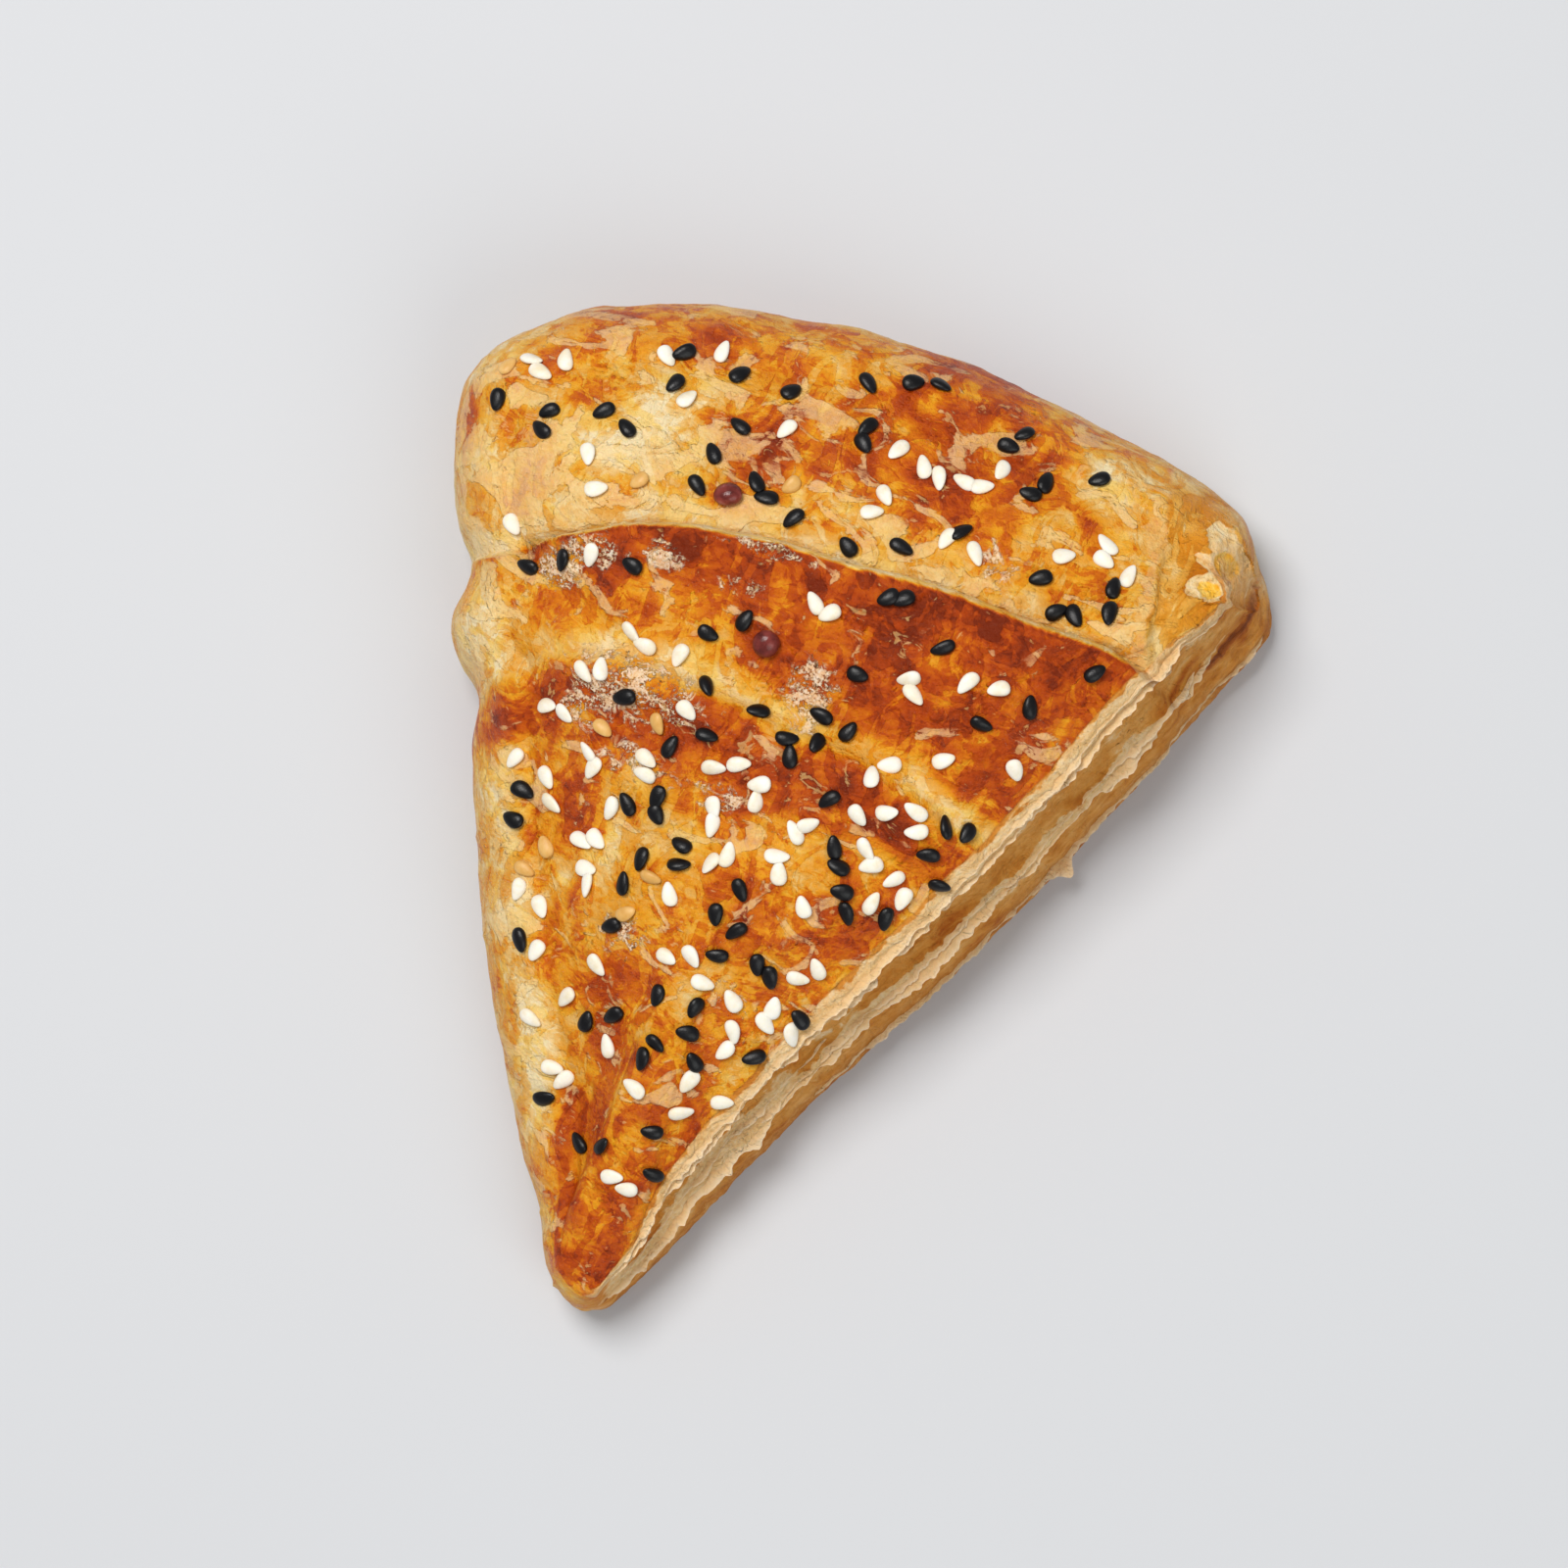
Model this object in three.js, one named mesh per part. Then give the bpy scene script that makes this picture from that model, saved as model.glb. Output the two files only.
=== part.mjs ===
// A triangular puff pastry turnover with a sprinkled topping of sesame, black and brown seeds.
// Millimetres, +Z up. The pastry lies on its flat underside at z = 0, its narrow tip points to -Y,
// its rounded back to +Y, and its cut, layered side faces +X. The origin is under its middle.
import * as THREE from "three";

// Overall size of the pastry.
const width = 120; // across the two back corners, along X
const length = 145; // from the tip to the back, along Y
const height = 38; // of the highest crest

// The crown: heights of the top along the middle, before the edges drop.
const tipHeight = 19;
const backHeight = 33;
const crownRise = [0.45, 0.85]; // shares of the rise reached a quarter and half of the way along
const edgeRoundness = 2.6; // power by which the top drops towards its edge

// The rolled sides, where the dough is folded over and round.
const rollInset = 10; // from the widest line in to the shoulder
const rollDrop = 9; // of the shoulder below the crown
const footInset = 5; // from the widest line in to where it lifts off the ground
const bulgeShare = 0.4; // height of the widest line, as a share of the shoulder's height

// The cut side, where the layers show as three ledges.
const cutInset = 8.5; // from the foot in to the edge of the top crust
const cutDrop = 4.5; // of the crust's edge below the crown
const cornerInset = 11; // the same inset at the open back corner
const cornerReach = { from: 0.15 * length, to: 0.36 * length }; // where that inset sets in
const cutEndShare = 0.035; // of the outline, over which the cut side turns into a rolled one

// The top crust stops short of the open back corner, in a step down.
const cornerStep = 4.5;
const cornerStepWidth = 8;

// Folds across the top: a lip on the tip's side and a hollow behind it.
const lipRise = 2.6;
const hollowDepth = 2.2;
const lipRun = 11; // how far the lip takes to fade out
const hollowRun = 7;
const foldWidth = 8; // of the step between them
const foldFade = 0.35; // share of a fold lost at the crust's edge
const foldNotch = 2.4; // how deep a fold bites into the rolled side
const notchWidth = 5; // of that bite, along the side

// Seeds of the topping.
const sesameSize = { length: 3.5, width: 2.1, thickness: 1.1, taper: 0.32 };
const blackSize = { length: 3.3, width: 2.1, thickness: 1.3, taper: 0.24 };
const brownSize = { length: 3.9, width: 3.3, thickness: 2.2, taper: 0.08 };
const sesameCount = 30;
const blackCount = 27;
const brownSpots = [
  { x: -0.134, y: 0.29, heading: 0.4 }, // as shares of the width and the length
  { x: -0.034, y: 0.162, heading: 1.2 },
];
const seedGap = 0.3; // between a seed and the crust
const seedSpacing = 0.6; // clear space between two seeds
const seedMargin = 3; // from a seed's middle in to the crust's edge or a fold
const seedSlope = 0.8; // steepest crust that still holds a seed, as rise over run
const sprinkled = { behindBackFold: 0.5, betweenFolds: 0.36, tipHalf: 1, tip: 0.15 }; // how thickly
const tipReach = 0.14 * length; // the sparsely seeded tip

// Fineness of the meshes.
const turns = 108; // round the outline
const crustRings = 32; // from the middle of the top to its edge
const seedTurns = 8;
const seedRings = 5;

// Outline from above, anticlockwise from the tip, as shares of the width and the length.
const cutSide = [
  [-0.025, -0.5],
  [0.006, -0.467],
  [0.128, -0.268],
  [0.31, 0.0],
  [0.45, 0.25],
  [0.492, 0.345],
];
const backSide = [
  [0.44, 0.42],
  [0.255, 0.467],
  [0, 0.495],
  [-0.27, 0.468],
  [-0.42, 0.415],
];
const foldedSide = [
  [-0.5, 0.34],
  [-0.49, 0.26],
  [-0.45, 0.17],
  [-0.415, 0.08],
  [-0.36, -0.02],
  [-0.24, -0.25],
  [-0.12, -0.42],
  [-0.075, -0.48],
];

// The folds, from the rolled side across to the cut side, as shares of the width and the length.
const backFold = [
  [-0.5, 0.12],
  [-0.408, 0.158],
  [-0.279, 0.211],
  [-0.109, 0.249],
  [0.121, 0.252],
  [0.5, 0.24],
];
const middleFold = [
  [-0.48, -0.005],
  [-0.379, 0.036],
  [-0.28, 0.086],
  [-0.18, 0.106],
  [-0.04, 0.1],
  [0.119, 0.076],
  [0.338, 0.015],
];
const tipFold = [
  [-0.392, -0.173],
  [-0.285, -0.151],
  [-0.184, -0.106],
  [-0.083, -0.057],
  [0.067, -0.027],
  [0.317, -0.037],
];

// The step at the open corner, as a line and the way down from it.
const cornerLine = { x: 0.361, y: 0.367, away: new THREE.Vector2(0.975, 0.222) };

// Centre of the crust's rings, between the middle fold and the tip one.
const middle = new THREE.Vector2(0, 0.05 * length);

// Side rings from the crust's edge down to the foot, for the cut side. Each is a share of the
// inset and a share of the edge's height: crust edge, crust lip, hollow, ledge, hollow, ledge, foot.
const cutRings = [
  { inset: 1.0, rise: 1.0 },
  { inset: 0.8, rise: 0.9 },
  { inset: 0.84, rise: 0.78 },
  { inset: 0.5, rise: 0.64 },
  { inset: 0.36, rise: 0.52 },
  { inset: 0.4, rise: 0.42 },
  { inset: 0.1, rise: 0.27 },
  { inset: 0.0, rise: 0.14 },
  { inset: 0.26, rise: 0.0 },
];
const sideRings = cutRings.length - 1;

const crustColour = "#cf8a3c";
const sesameColour = "#f3ead9";
const blackColour = "#17151a";
const brownColour = "#6e3524";

const mix = THREE.MathUtils.lerp;
const smooth = THREE.MathUtils.smoothstep;

// A smooth curve through points given as shares of the width and the length.
function curveThrough(shares, closed) {
  const points = shares.map(([x, y]) => new THREE.Vector3(x * width, y * length, 0));
  return new THREE.CatmullRomCurve3(points, closed, "centripetal");
}

// Points spaced evenly round the outline.
function outlinePoints() {
  const curve = curveThrough([...cutSide, ...backSide, ...foldedSide], true);
  return curve.getSpacedPoints(turns).slice(0, turns);
}

// How much of the cut side's profile each turn has: 1 along the cut, 0 on the rolled sides.
function cutShares(outline) {
  const nearest = (x, y) => {
    const to = new THREE.Vector3(x * width, y * length, 0);
    const gaps = outline.map((p) => p.distanceTo(to));
    return gaps.indexOf(Math.min(...gaps));
  };
  const corner = nearest(...cutSide.at(-1));
  const blend = Math.round(turns * cutEndShare);
  return outline.map((_, i) => {
    const pastTip = Math.min(i, turns - i) * (i > turns / 2 ? -1 : 1);
    const leaving = 1 - smooth(i, corner - blend / 2, corner + 2 * blend);
    return smooth(pastTip, -blend, blend) * (i > turns / 2 ? 1 : leaving);
  });
}

// Signed distance beyond a fold towards the back: its curve is read as y over x.
function beyondFold(fold, x, y) {
  const after = fold.findIndex((p) => p.x >= x);
  if (after < 0) return y - fold.at(-1).y;
  if (after === 0) return y - fold[0].y;
  const [a, b] = [fold[after - 1], fold[after]];
  return y - mix(a.y, b.y, (x - a.x) / (b.x - a.x));
}

const foldSamples = 60;
const folds = [
  { curve: curveThrough(backFold).getSpacedPoints(foldSamples), strength: 1 },
  { curve: curveThrough(middleFold).getSpacedPoints(foldSamples), strength: 0.75 },
  { curve: curveThrough(tipFold).getSpacedPoints(foldSamples), strength: 0.3 },
];

// Rise of the crust beside the folds: the lips stand up and the hollows sink.
function foldRise(x, y) {
  return folds.reduce((sum, { curve, strength }) => {
    const d = beyondFold(curve, x, y);
    const lip = lipRise * Math.exp(Math.min(d, 0) / lipRun);
    const hollow = -hollowDepth * Math.exp(-Math.max(d, 0) / hollowRun);
    return sum + strength * mix(lip, hollow, smooth(d, -foldWidth / 2, foldWidth / 2));
  }, 0);
}

// Height of the crown along the middle of the pastry.
const crown = new THREE.CatmullRomCurve3(
  [
    new THREE.Vector3(-0.5 * length, tipHeight, 0),
    new THREE.Vector3(-0.25 * length, mix(tipHeight, height - lipRise, crownRise[0]), 0),
    new THREE.Vector3(0.04 * length, mix(tipHeight, height - lipRise, crownRise[1]), 0),
    new THREE.Vector3(0.22 * length, height - lipRise, 0),
    new THREE.Vector3(0.5 * length, backHeight, 0),
  ],
  false,
  "centripetal",
).getSpacedPoints(foldSamples);

// How far a place lies past the step at the open corner.
function pastCorner(x, y) {
  const fromLine = new THREE.Vector2(x - cornerLine.x * width, y - cornerLine.y * length);
  return fromLine.dot(cornerLine.away);
}

// Height of the top at a point that lies a share of the way out to the crust's edge.
function topHeight(x, y, out, edgeDrop) {
  const after = Math.max(1, crown.findIndex((p) => p.x >= y));
  const [a, b] = [crown[after - 1], crown[after]];
  const crest = mix(a.y, b.y, THREE.MathUtils.clamp((y - a.x) / (b.x - a.x), 0, 1));
  const step = cornerStep * smooth(pastCorner(x, y), 0, cornerStepWidth);
  const lowered = Math.min(1, crest / height) * (1 - foldFade * out ** 4);
  return crest - edgeDrop * out ** edgeRoundness + foldRise(x, y) * lowered - step;
}

// Centres the footprint's box on the origin and brings the box to the overall size.
function bringToSize(geometry) {
  geometry.computeBoundingBox();
  const centre = geometry.boundingBox.getCenter(new THREE.Vector3());
  const size = geometry.boundingBox.getSize(new THREE.Vector3());
  geometry.translate(-centre.x, -centre.y, 0);
  geometry.scale(width / size.x, length / size.y, height / size.z);
}

// The pastry as a ball whose rings are moved onto the crust, the sides and the underside.
function pastryGeometry() {
  const outline = outlinePoints();
  const shares = cutShares(outline);
  const rings = crustRings + sideRings + 1; // the last one is the middle of the underside
  const ball = new THREE.SphereGeometry(1, turns, rings);
  const place = ball.getAttribute("position");
  for (let i = 0; i < place.count; i++) {
    const ring = Math.floor(i / (turns + 1));
    const turn = (i % (turns + 1)) % turns;
    const rim = new THREE.Vector2(outline[turn].x, outline[turn].y);
    const share = shares[turn];
    const notch = folds.slice(0, 2).reduce((sum, { curve }) => {
      const d = beyondFold(curve, rim.x, rim.y) / notchWidth;
      return sum + foldNotch * (1 - share) * (rim.x < 0 ? Math.exp(-d * d) : 0);
    }, 0);
    const reach = rim.distanceTo(middle) - notch;
    const along = rim.clone().sub(middle).normalize();
    const atCorner = smooth(rim.y, cornerReach.from, cornerReach.to) * share;
    const inset = mix(rollInset, mix(cutInset, cornerInset, atCorner), share);
    const edgeDrop = mix(rollDrop, cutDrop, share);
    const out = Math.min(1, ring / crustRings);
    const crustReach = (reach - inset) * out;
    const spot = middle.clone().addScaledVector(along, crustReach);
    let z = topHeight(spot.x, spot.y, out, edgeDrop);
    if (ring > crustRings && ring < rings) {
      const down = ring - crustRings;
      const angle = (Math.PI * (sideRings / 2 - down)) / sideRings;
      const lift = Math.sin(angle);
      const roll = {
        inset: (lift > 0 ? rollInset : footInset) * (1 - Math.cos(angle)),
        z: z * (lift > 0 ? mix(bulgeShare, 1, lift) : bulgeShare * (1 + lift)),
      };
      const cut = { inset: inset * cutRings[down].inset, z: z * cutRings[down].rise };
      const from = reach - mix(roll.inset, cut.inset, share);
      spot.copy(middle).addScaledVector(along, from);
      z = mix(roll.z, cut.z, share);
    }
    if (ring === rings) {
      spot.copy(middle);
      z = 0;
    }
    place.setXYZ(i, spot.x, spot.y, z);
  }
  bringToSize(ball);
  ball.computeVertexNormals();
  return ball;
}

// A flattened drop with its point at +X, lying in the XY plane.
function seedGeometry({ length, width, thickness, taper }) {
  const seed = new THREE.SphereGeometry(0.5, seedTurns, seedRings).rotateZ(-Math.PI / 2);
  const place = seed.getAttribute("position");
  for (let i = 0; i < place.count; i++) {
    const slim = 1 - taper * (2 * place.getX(i));
    place.setXYZ(
      i,
      place.getX(i) * length,
      place.getY(i) * width * slim,
      place.getZ(i) * thickness * slim,
    );
  }
  seed.computeVertexNormals();
  return seed;
}

// Repeatable numbers from 0 to 1.
function makeDraws(seed) {
  let state = seed;
  return () => {
    state = (Math.imul(state, 1664525) + 1013904223) >>> 0;
    return state / 2 ** 32;
  };
}

// What a crust or a seed is made of.
function surface(color, roughness) {
  return new THREE.MeshStandardMaterial({ color, roughness, metalness: 0 });
}

const pastry = new THREE.Mesh(pastryGeometry(), surface(crustColour, 0.5));
pastry.name = "pastry";
pastry.updateMatrixWorld(true);

// Height and facing of the crust straight below a point, or null beside the pastry.
const skyHeight = 2 * height;
const caster = new THREE.Raycaster();
const straightDown = new THREE.Vector3(0, 0, -1);
function crustAt(x, y) {
  caster.set(new THREE.Vector3(x, y, skyHeight), straightDown);
  return caster.intersectObject(pastry)[0] ?? null;
}

// Whether a seed may lie here: on the crust, clear of its edge, of the folds and of the open corner.
function isOpenCrust(x, y) {
  const around = [0, 1, 2, 3, 4, 5].map((k) => {
    const angle = (k * Math.PI) / 3;
    return crustAt(x + seedMargin * Math.cos(angle), y + seedMargin * Math.sin(angle));
  });
  const hit = crustAt(x, y);
  if (!hit || around.some((h) => !h)) return false;
  const steepest = Math.max(...around.map((h) => Math.abs(h.point.z - hit.point.z)));
  const nearFold = folds.some(({ curve }) => Math.abs(beyondFold(curve, x, y)) < seedMargin);
  return steepest < seedMargin * seedSlope && !nearFold && pastCorner(x, y) < -seedMargin;
}

// Tilts a seed to the crust below it and lifts it until all of its underside is clear.
function settle(seed, size, x, y, heading) {
  const reach = size.length / 2;
  const slope = (dx, dy) =>
    (crustAt(x + dx * reach, y + dy * reach).point.z - crustAt(x - dx * reach, y - dy * reach).point.z) /
    (2 * reach);
  const up = new THREE.Vector3(-slope(1, 0), -slope(0, 1), 1).normalize();
  const tilt = new THREE.Quaternion().setFromUnitVectors(new THREE.Vector3(0, 0, 1), up);
  const turn = new THREE.Quaternion().setFromAxisAngle(new THREE.Vector3(0, 0, 1), heading);
  seed.quaternion.copy(tilt).multiply(turn);
  const place = seed.geometry.getAttribute("position");
  let lift = 0;
  for (let i = 0; i < place.count; i++) {
    const p = new THREE.Vector3().fromBufferAttribute(place, i).applyQuaternion(seed.quaternion);
    lift = Math.max(lift, crustAt(x + p.x, y + p.y).point.z - p.z);
  }
  seed.position.set(x, y, lift + seedGap / up.z);
}

// How thickly the topping lies: most on the tip's half, least behind the back fold.
function sprinkle(x, y) {
  if (beyondFold(folds[0].curve, x, y) > 0) return sprinkled.behindBackFold;
  if (beyondFold(folds[1].curve, x, y) > 0) return sprinkled.betweenFolds;
  return y > tipReach - length / 2 ? sprinkled.tipHalf : sprinkled.tip;
}

// Lays one seed on the crust.
const lying = [];
function lay(parent, name, geometry, size, material, { x, y, heading }) {
  const seed = new THREE.Mesh(geometry, material);
  seed.name = name;
  settle(seed, size, x, y, heading);
  lying.push({ x, y, reach: size.length / 2 });
  parent.add(seed);
}

// A seed's name with its number.
const numbered = (name, number) => name + "_" + String(number).padStart(2, "0");

// Scatters one kind of seed, keeping each clear of those already lying there.
function scatter(parent, name, count, size, material, draw) {
  const geometry = seedGeometry(size);
  for (let made = 0; made < count; ) {
    const x = (draw() - 0.5) * width;
    const y = (draw() - 0.5) * length;
    const heading = draw() * 2 * Math.PI;
    const wanted = draw() < sprinkle(x, y);
    const clear = size.length / 2 + seedSpacing;
    const free = lying.every((s) => Math.hypot(x - s.x, y - s.y) > clear + s.reach);
    if (!wanted || !free || !isOpenCrust(x, y)) continue;
    made += 1;
    lay(parent, numbered(name, made), geometry, size, material, { x, y, heading });
  }
}

const sesameMaterial = surface(sesameColour, 0.55);
const blackMaterial = surface(blackColour, 0.45);
const brownMaterial = surface(brownColour, 0.35);

const topping = new THREE.Group();
const brownGeometry = seedGeometry(brownSize);
brownSpots.forEach(({ x, y, heading }, i) => {
  const spot = { x: x * width, y: y * length, heading };
  lay(topping, numbered("brown_seed", i + 1), brownGeometry, brownSize, brownMaterial, spot);
});
scatter(topping, "sesame_seed", sesameCount, sesameSize, sesameMaterial, makeDraws(21));
scatter(topping, "black_seed", blackCount, blackSize, blackMaterial, makeDraws(47));

const turnover = new THREE.Group();
turnover.add(pastry, topping);

export default turnover;
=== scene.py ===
"""The looks of a triangular puff pastry turnover with a topping of seeds.

Lengths in this script are millimetres until a mesh is made, and MM turns them into metres.
The part's frame: +Z up from the flat underside, +Y from the narrow tip to the rounded back,
the cut and layered side facing +X.
"""

import math

import bpy
import numpy as np
from mathutils import Matrix, Vector
from mathutils.bvhtree import BVHTree


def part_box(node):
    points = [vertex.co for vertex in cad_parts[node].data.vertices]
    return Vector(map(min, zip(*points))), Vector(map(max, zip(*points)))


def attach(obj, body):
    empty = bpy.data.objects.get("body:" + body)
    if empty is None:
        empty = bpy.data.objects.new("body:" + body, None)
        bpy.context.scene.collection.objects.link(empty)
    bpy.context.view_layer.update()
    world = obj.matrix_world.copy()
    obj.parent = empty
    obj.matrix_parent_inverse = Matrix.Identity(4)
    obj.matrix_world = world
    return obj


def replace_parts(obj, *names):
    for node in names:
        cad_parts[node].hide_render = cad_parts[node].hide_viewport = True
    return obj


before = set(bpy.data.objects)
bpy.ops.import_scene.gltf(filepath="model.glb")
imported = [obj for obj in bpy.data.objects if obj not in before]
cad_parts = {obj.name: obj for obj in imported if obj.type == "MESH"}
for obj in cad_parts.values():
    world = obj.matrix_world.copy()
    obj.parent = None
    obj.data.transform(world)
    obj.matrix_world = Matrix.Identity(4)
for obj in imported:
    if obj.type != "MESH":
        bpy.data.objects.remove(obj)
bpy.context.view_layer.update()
scene = bpy.context.scene

MM = 0.001
PASTRY_LOW, PASTRY_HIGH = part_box("pastry")
WIDTH, LENGTH, HEIGHT = (np.array(PASTRY_HIGH) - np.array(PASTRY_LOW)) / MM

# Fineness of the pastry's mesh.
TURNS = 640  # round the outline, a multiple of 4
CRUST_RINGS = 102
SIDE_RINGS = 62
UNDER_RINGS = 6
CUT_WEIGHT = 1.5  # how much closer the turns lie on the cut side
CURVE_STEPS = 60  # between two points of a curve

# Outline from above, anticlockwise from the tip, as shares of the width and the length.
CUT_SIDE = [
    (-0.025, -0.5), (0.006, -0.467), (0.128, -0.268), (0.31, 0.0), (0.45, 0.25), (0.492, 0.345),
]
BACK_SIDE = [(0.44, 0.42), (0.255, 0.467), (0.0, 0.495), (-0.27, 0.468), (-0.42, 0.415)]
FOLDED_SIDE = [
    (-0.5, 0.34), (-0.49, 0.26), (-0.45, 0.17), (-0.415, 0.08),
    (-0.36, -0.02), (-0.24, -0.25), (-0.12, -0.42), (-0.075, -0.48),
]

CENTRE = np.array([0.0, 0.05 * LENGTH])  # of the crust's rings

# Crown and edges.
TIP_HEIGHT = 19.0
BACK_HEIGHT = 33.0
EDGE_ROUNDNESS = 2.6
ROLL_INSET = 10.0
ROLL_DROP = 9.0
FOOT_INSET = 5.0
BULGE_SHARE = 0.4
CUT_DROP = 4.5
LIP_RISE = 2.6
HOLLOW_DEPTH = 2.2
CREASE_DEPTH = 1.3  # of the crack behind the back fold's lip
CORNER_STEP = 1.1  # the top crust ends here, a step above the layer below it
CORNER_LINE = np.array([43.3, 53.2])
CORNER_AWAY = np.array([0.975, 0.222])
CORNER_WAVE = 1.9


# ---- numbers


def smooth(x, low, high):
    t = np.clip((np.asarray(x, float) - low) / (high - low), 0, 1)
    return t * t * (3 - 2 * t)


def mix(a, b, t):
    return a + (b - a) * t


def hump(x, middle, width):
    """1 at the middle, fading to almost nothing at twice the width on either side."""
    return np.exp(-(((x - middle) / width) ** 2))


def unit(vectors):
    return vectors / np.linalg.norm(vectors, axis=1)[:, None]


def softened(values, reach):
    """Values with their corners rounded off over this many neighbours."""
    kernel = np.hanning(2 * reach + 1)
    return np.convolve(np.pad(values, reach, mode="edge"), kernel / kernel.sum(), mode="valid")


HASH_STEPS = (374761393, 668265263, 2246822519)


def hashed(cell, seed):
    """Repeatable numbers from -1 to 1, one for each cell of a lattice."""
    n = np.full(cell.shape[:-1], seed * 97 + 13, np.int64)
    for k in range(cell.shape[-1]):
        n = n + cell[..., k] * HASH_STEPS[k]
    n = n & 0xFFFFFFFF
    n = ((n ^ (n >> 13)) * 1274126177) & 0xFFFFFFFF
    n = ((n ^ (n >> 16)) * 2654435761) & 0xFFFFFFFF
    return (n ^ (n >> 15)) / 0xFFFFFFFF * 2 - 1


def noise(points, size, seed=0):
    """Smooth noise from -1 to 1 whose features are about this size."""
    p = np.asarray(points, float) / size + 1000.0
    low = np.floor(p).astype(np.int64)
    t = p - low
    t = t * t * (3 - 2 * t)
    total = 0
    for corner in np.ndindex(*(2,) * p.shape[-1]):
        weight = np.prod([t[..., k] if c else 1 - t[..., k] for k, c in enumerate(corner)], axis=0)
        total = total + weight * hashed(low + np.array(corner), seed)
    return total


def fractal(points, size, octaves=3, seed=0):
    layers = [noise(points, size / 2**k, seed + k) * 0.5**k for k in range(octaves)]
    return sum(layers) / sum(0.5**k for k in range(octaves))


SPOT_EDGE = 1.3  # higher makes the edge of a spot crisper


def spot_field(x, y, spots):
    """Sum of soft ellipses, each (x, y, half length, half width, turn in degrees, strength)."""
    total = np.zeros_like(x)
    for cx, cy, rx, ry, turn, strength in spots:
        c, s = math.cos(math.radians(turn)), math.sin(math.radians(turn))
        u = ((x - cx) * c + (y - cy) * s) / rx
        v = (-(x - cx) * s + (y - cy) * c) / ry
        total = total + strength * np.exp(-((u * u + v * v) ** SPOT_EDGE))
    return total


# ---- curves


def curve_through(shares, closed=False):
    """Centripetal Catmull-Rom curve through points given as shares of the width and the length."""
    p = np.array(shares) * (WIDTH, LENGTH)
    if closed:
        p = np.vstack([p[-1], p, p[0], p[1]])
    else:
        p = np.vstack([2 * p[0] - p[1], p, 2 * p[-1] - p[-2]])
    out = []
    t = np.linspace(0, 1, CURVE_STEPS, endpoint=False)[:, None]
    for a, b, c, d in zip(p[:-3], p[1:-2], p[2:-1], p[3:]):
        knots = [0]
        for pair in ((a, b), (b, c), (c, d)):
            knots.append(knots[-1] + math.dist(*pair) ** 0.5)
        u = knots[1] + t * (knots[2] - knots[1])

        def between(low, high, i, j):
            return low + (high - low) * (u - knots[i]) / (knots[j] - knots[i])

        ab, bc, cd = between(a, b, 0, 1), between(b, c, 1, 2), between(c, d, 2, 3)
        out.append(between(between(ab, bc, 0, 2), between(bc, cd, 1, 3), 1, 2))
    if not closed:
        out.append(p[-2:-1])
    return np.vstack(out)


# The folds, from the folded side across to the cut side, as shares of the width and the length.
FOLDS = {
    "back": curve_through([
        (-0.5, 0.12), (-0.408, 0.158), (-0.279, 0.211), (-0.109, 0.249), (0.121, 0.252), (0.5, 0.24),
    ]),
    "middle": curve_through([
        (-0.48, -0.005), (-0.379, 0.036), (-0.28, 0.086), (-0.18, 0.106), (-0.04, 0.1), (0.119, 0.076),
        (0.338, 0.015),
    ]),
    "tip": curve_through([
        (-0.392, -0.173), (-0.285, -0.151), (-0.184, -0.106), (-0.083, -0.057), (0.067, -0.027),
        (0.317, -0.037),
    ]),
}
FOLD_WAVE = 0.7  # how far a fold wanders from its curve


def beyond(fold, x, y):
    """Distance past a fold towards the back. The fold's curve is read as y over x."""
    curve = FOLDS[fold]
    slope = np.gradient(curve[:, 1], curve[:, 0])
    wave = FOLD_WAVE * fractal(np.stack([x, np.zeros_like(x)], -1), 13, 2, seed=71)
    gap = y - np.interp(x, curve[:, 0], curve[:, 1]) + wave
    return gap / np.sqrt(1 + np.interp(x, curve[:, 0], slope) ** 2)


# Each fold: its strength, the width of its step, how far its lip and its hollow run out.
FOLD_SHAPES = {
    "back": (1.0, 1.1, 11.0, 6.0), "middle": (0.8, 4.5, 10.0, 7.0), "tip": (0.35, 7.0, 12.0, 9.0),
}


def fold_rise(x, y):
    total = -CREASE_DEPTH * hump(beyond("back", x, y), 0.75, 0.5) * smooth(x, -56, -40)
    for fold, (strength, width, lip_run, hollow_run) in FOLD_SHAPES.items():
        d = beyond(fold, x, y)
        lip = LIP_RISE * np.exp(np.minimum(d, 0) / lip_run)
        hollow = -HOLLOW_DEPTH * np.exp(-np.maximum(d, 0) / hollow_run)
        total = total + strength * mix(lip, hollow, smooth(d, -width / 2, width / 2))
    return total


CROWN_Y = np.array([-0.5, -0.25, 0.04, 0.22, 0.5]) * LENGTH
CROWN_TOP = HEIGHT - LIP_RISE
CROWN_Z = [*(mix(TIP_HEIGHT, CROWN_TOP, share) for share in (0, 0.45, 0.85, 1)), BACK_HEIGHT]


def crown(y):
    """Height of the crust's ridge, without folds and lift, along the pastry."""
    fine = np.linspace(CROWN_Y[0], CROWN_Y[-1], 200)
    return np.interp(y, fine, softened(np.interp(fine, CROWN_Y, CROWN_Z), 20))


def past_corner(x, y):
    """Distance past the end of the top crust, towards the open back corner."""
    wave = CORNER_WAVE * fractal(np.stack([x, y], -1), 5, 3, seed=31)
    return (x - CORNER_LINE[0]) * CORNER_AWAY[0] + (y - CORNER_LINE[1]) * CORNER_AWAY[1] + wave


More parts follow.
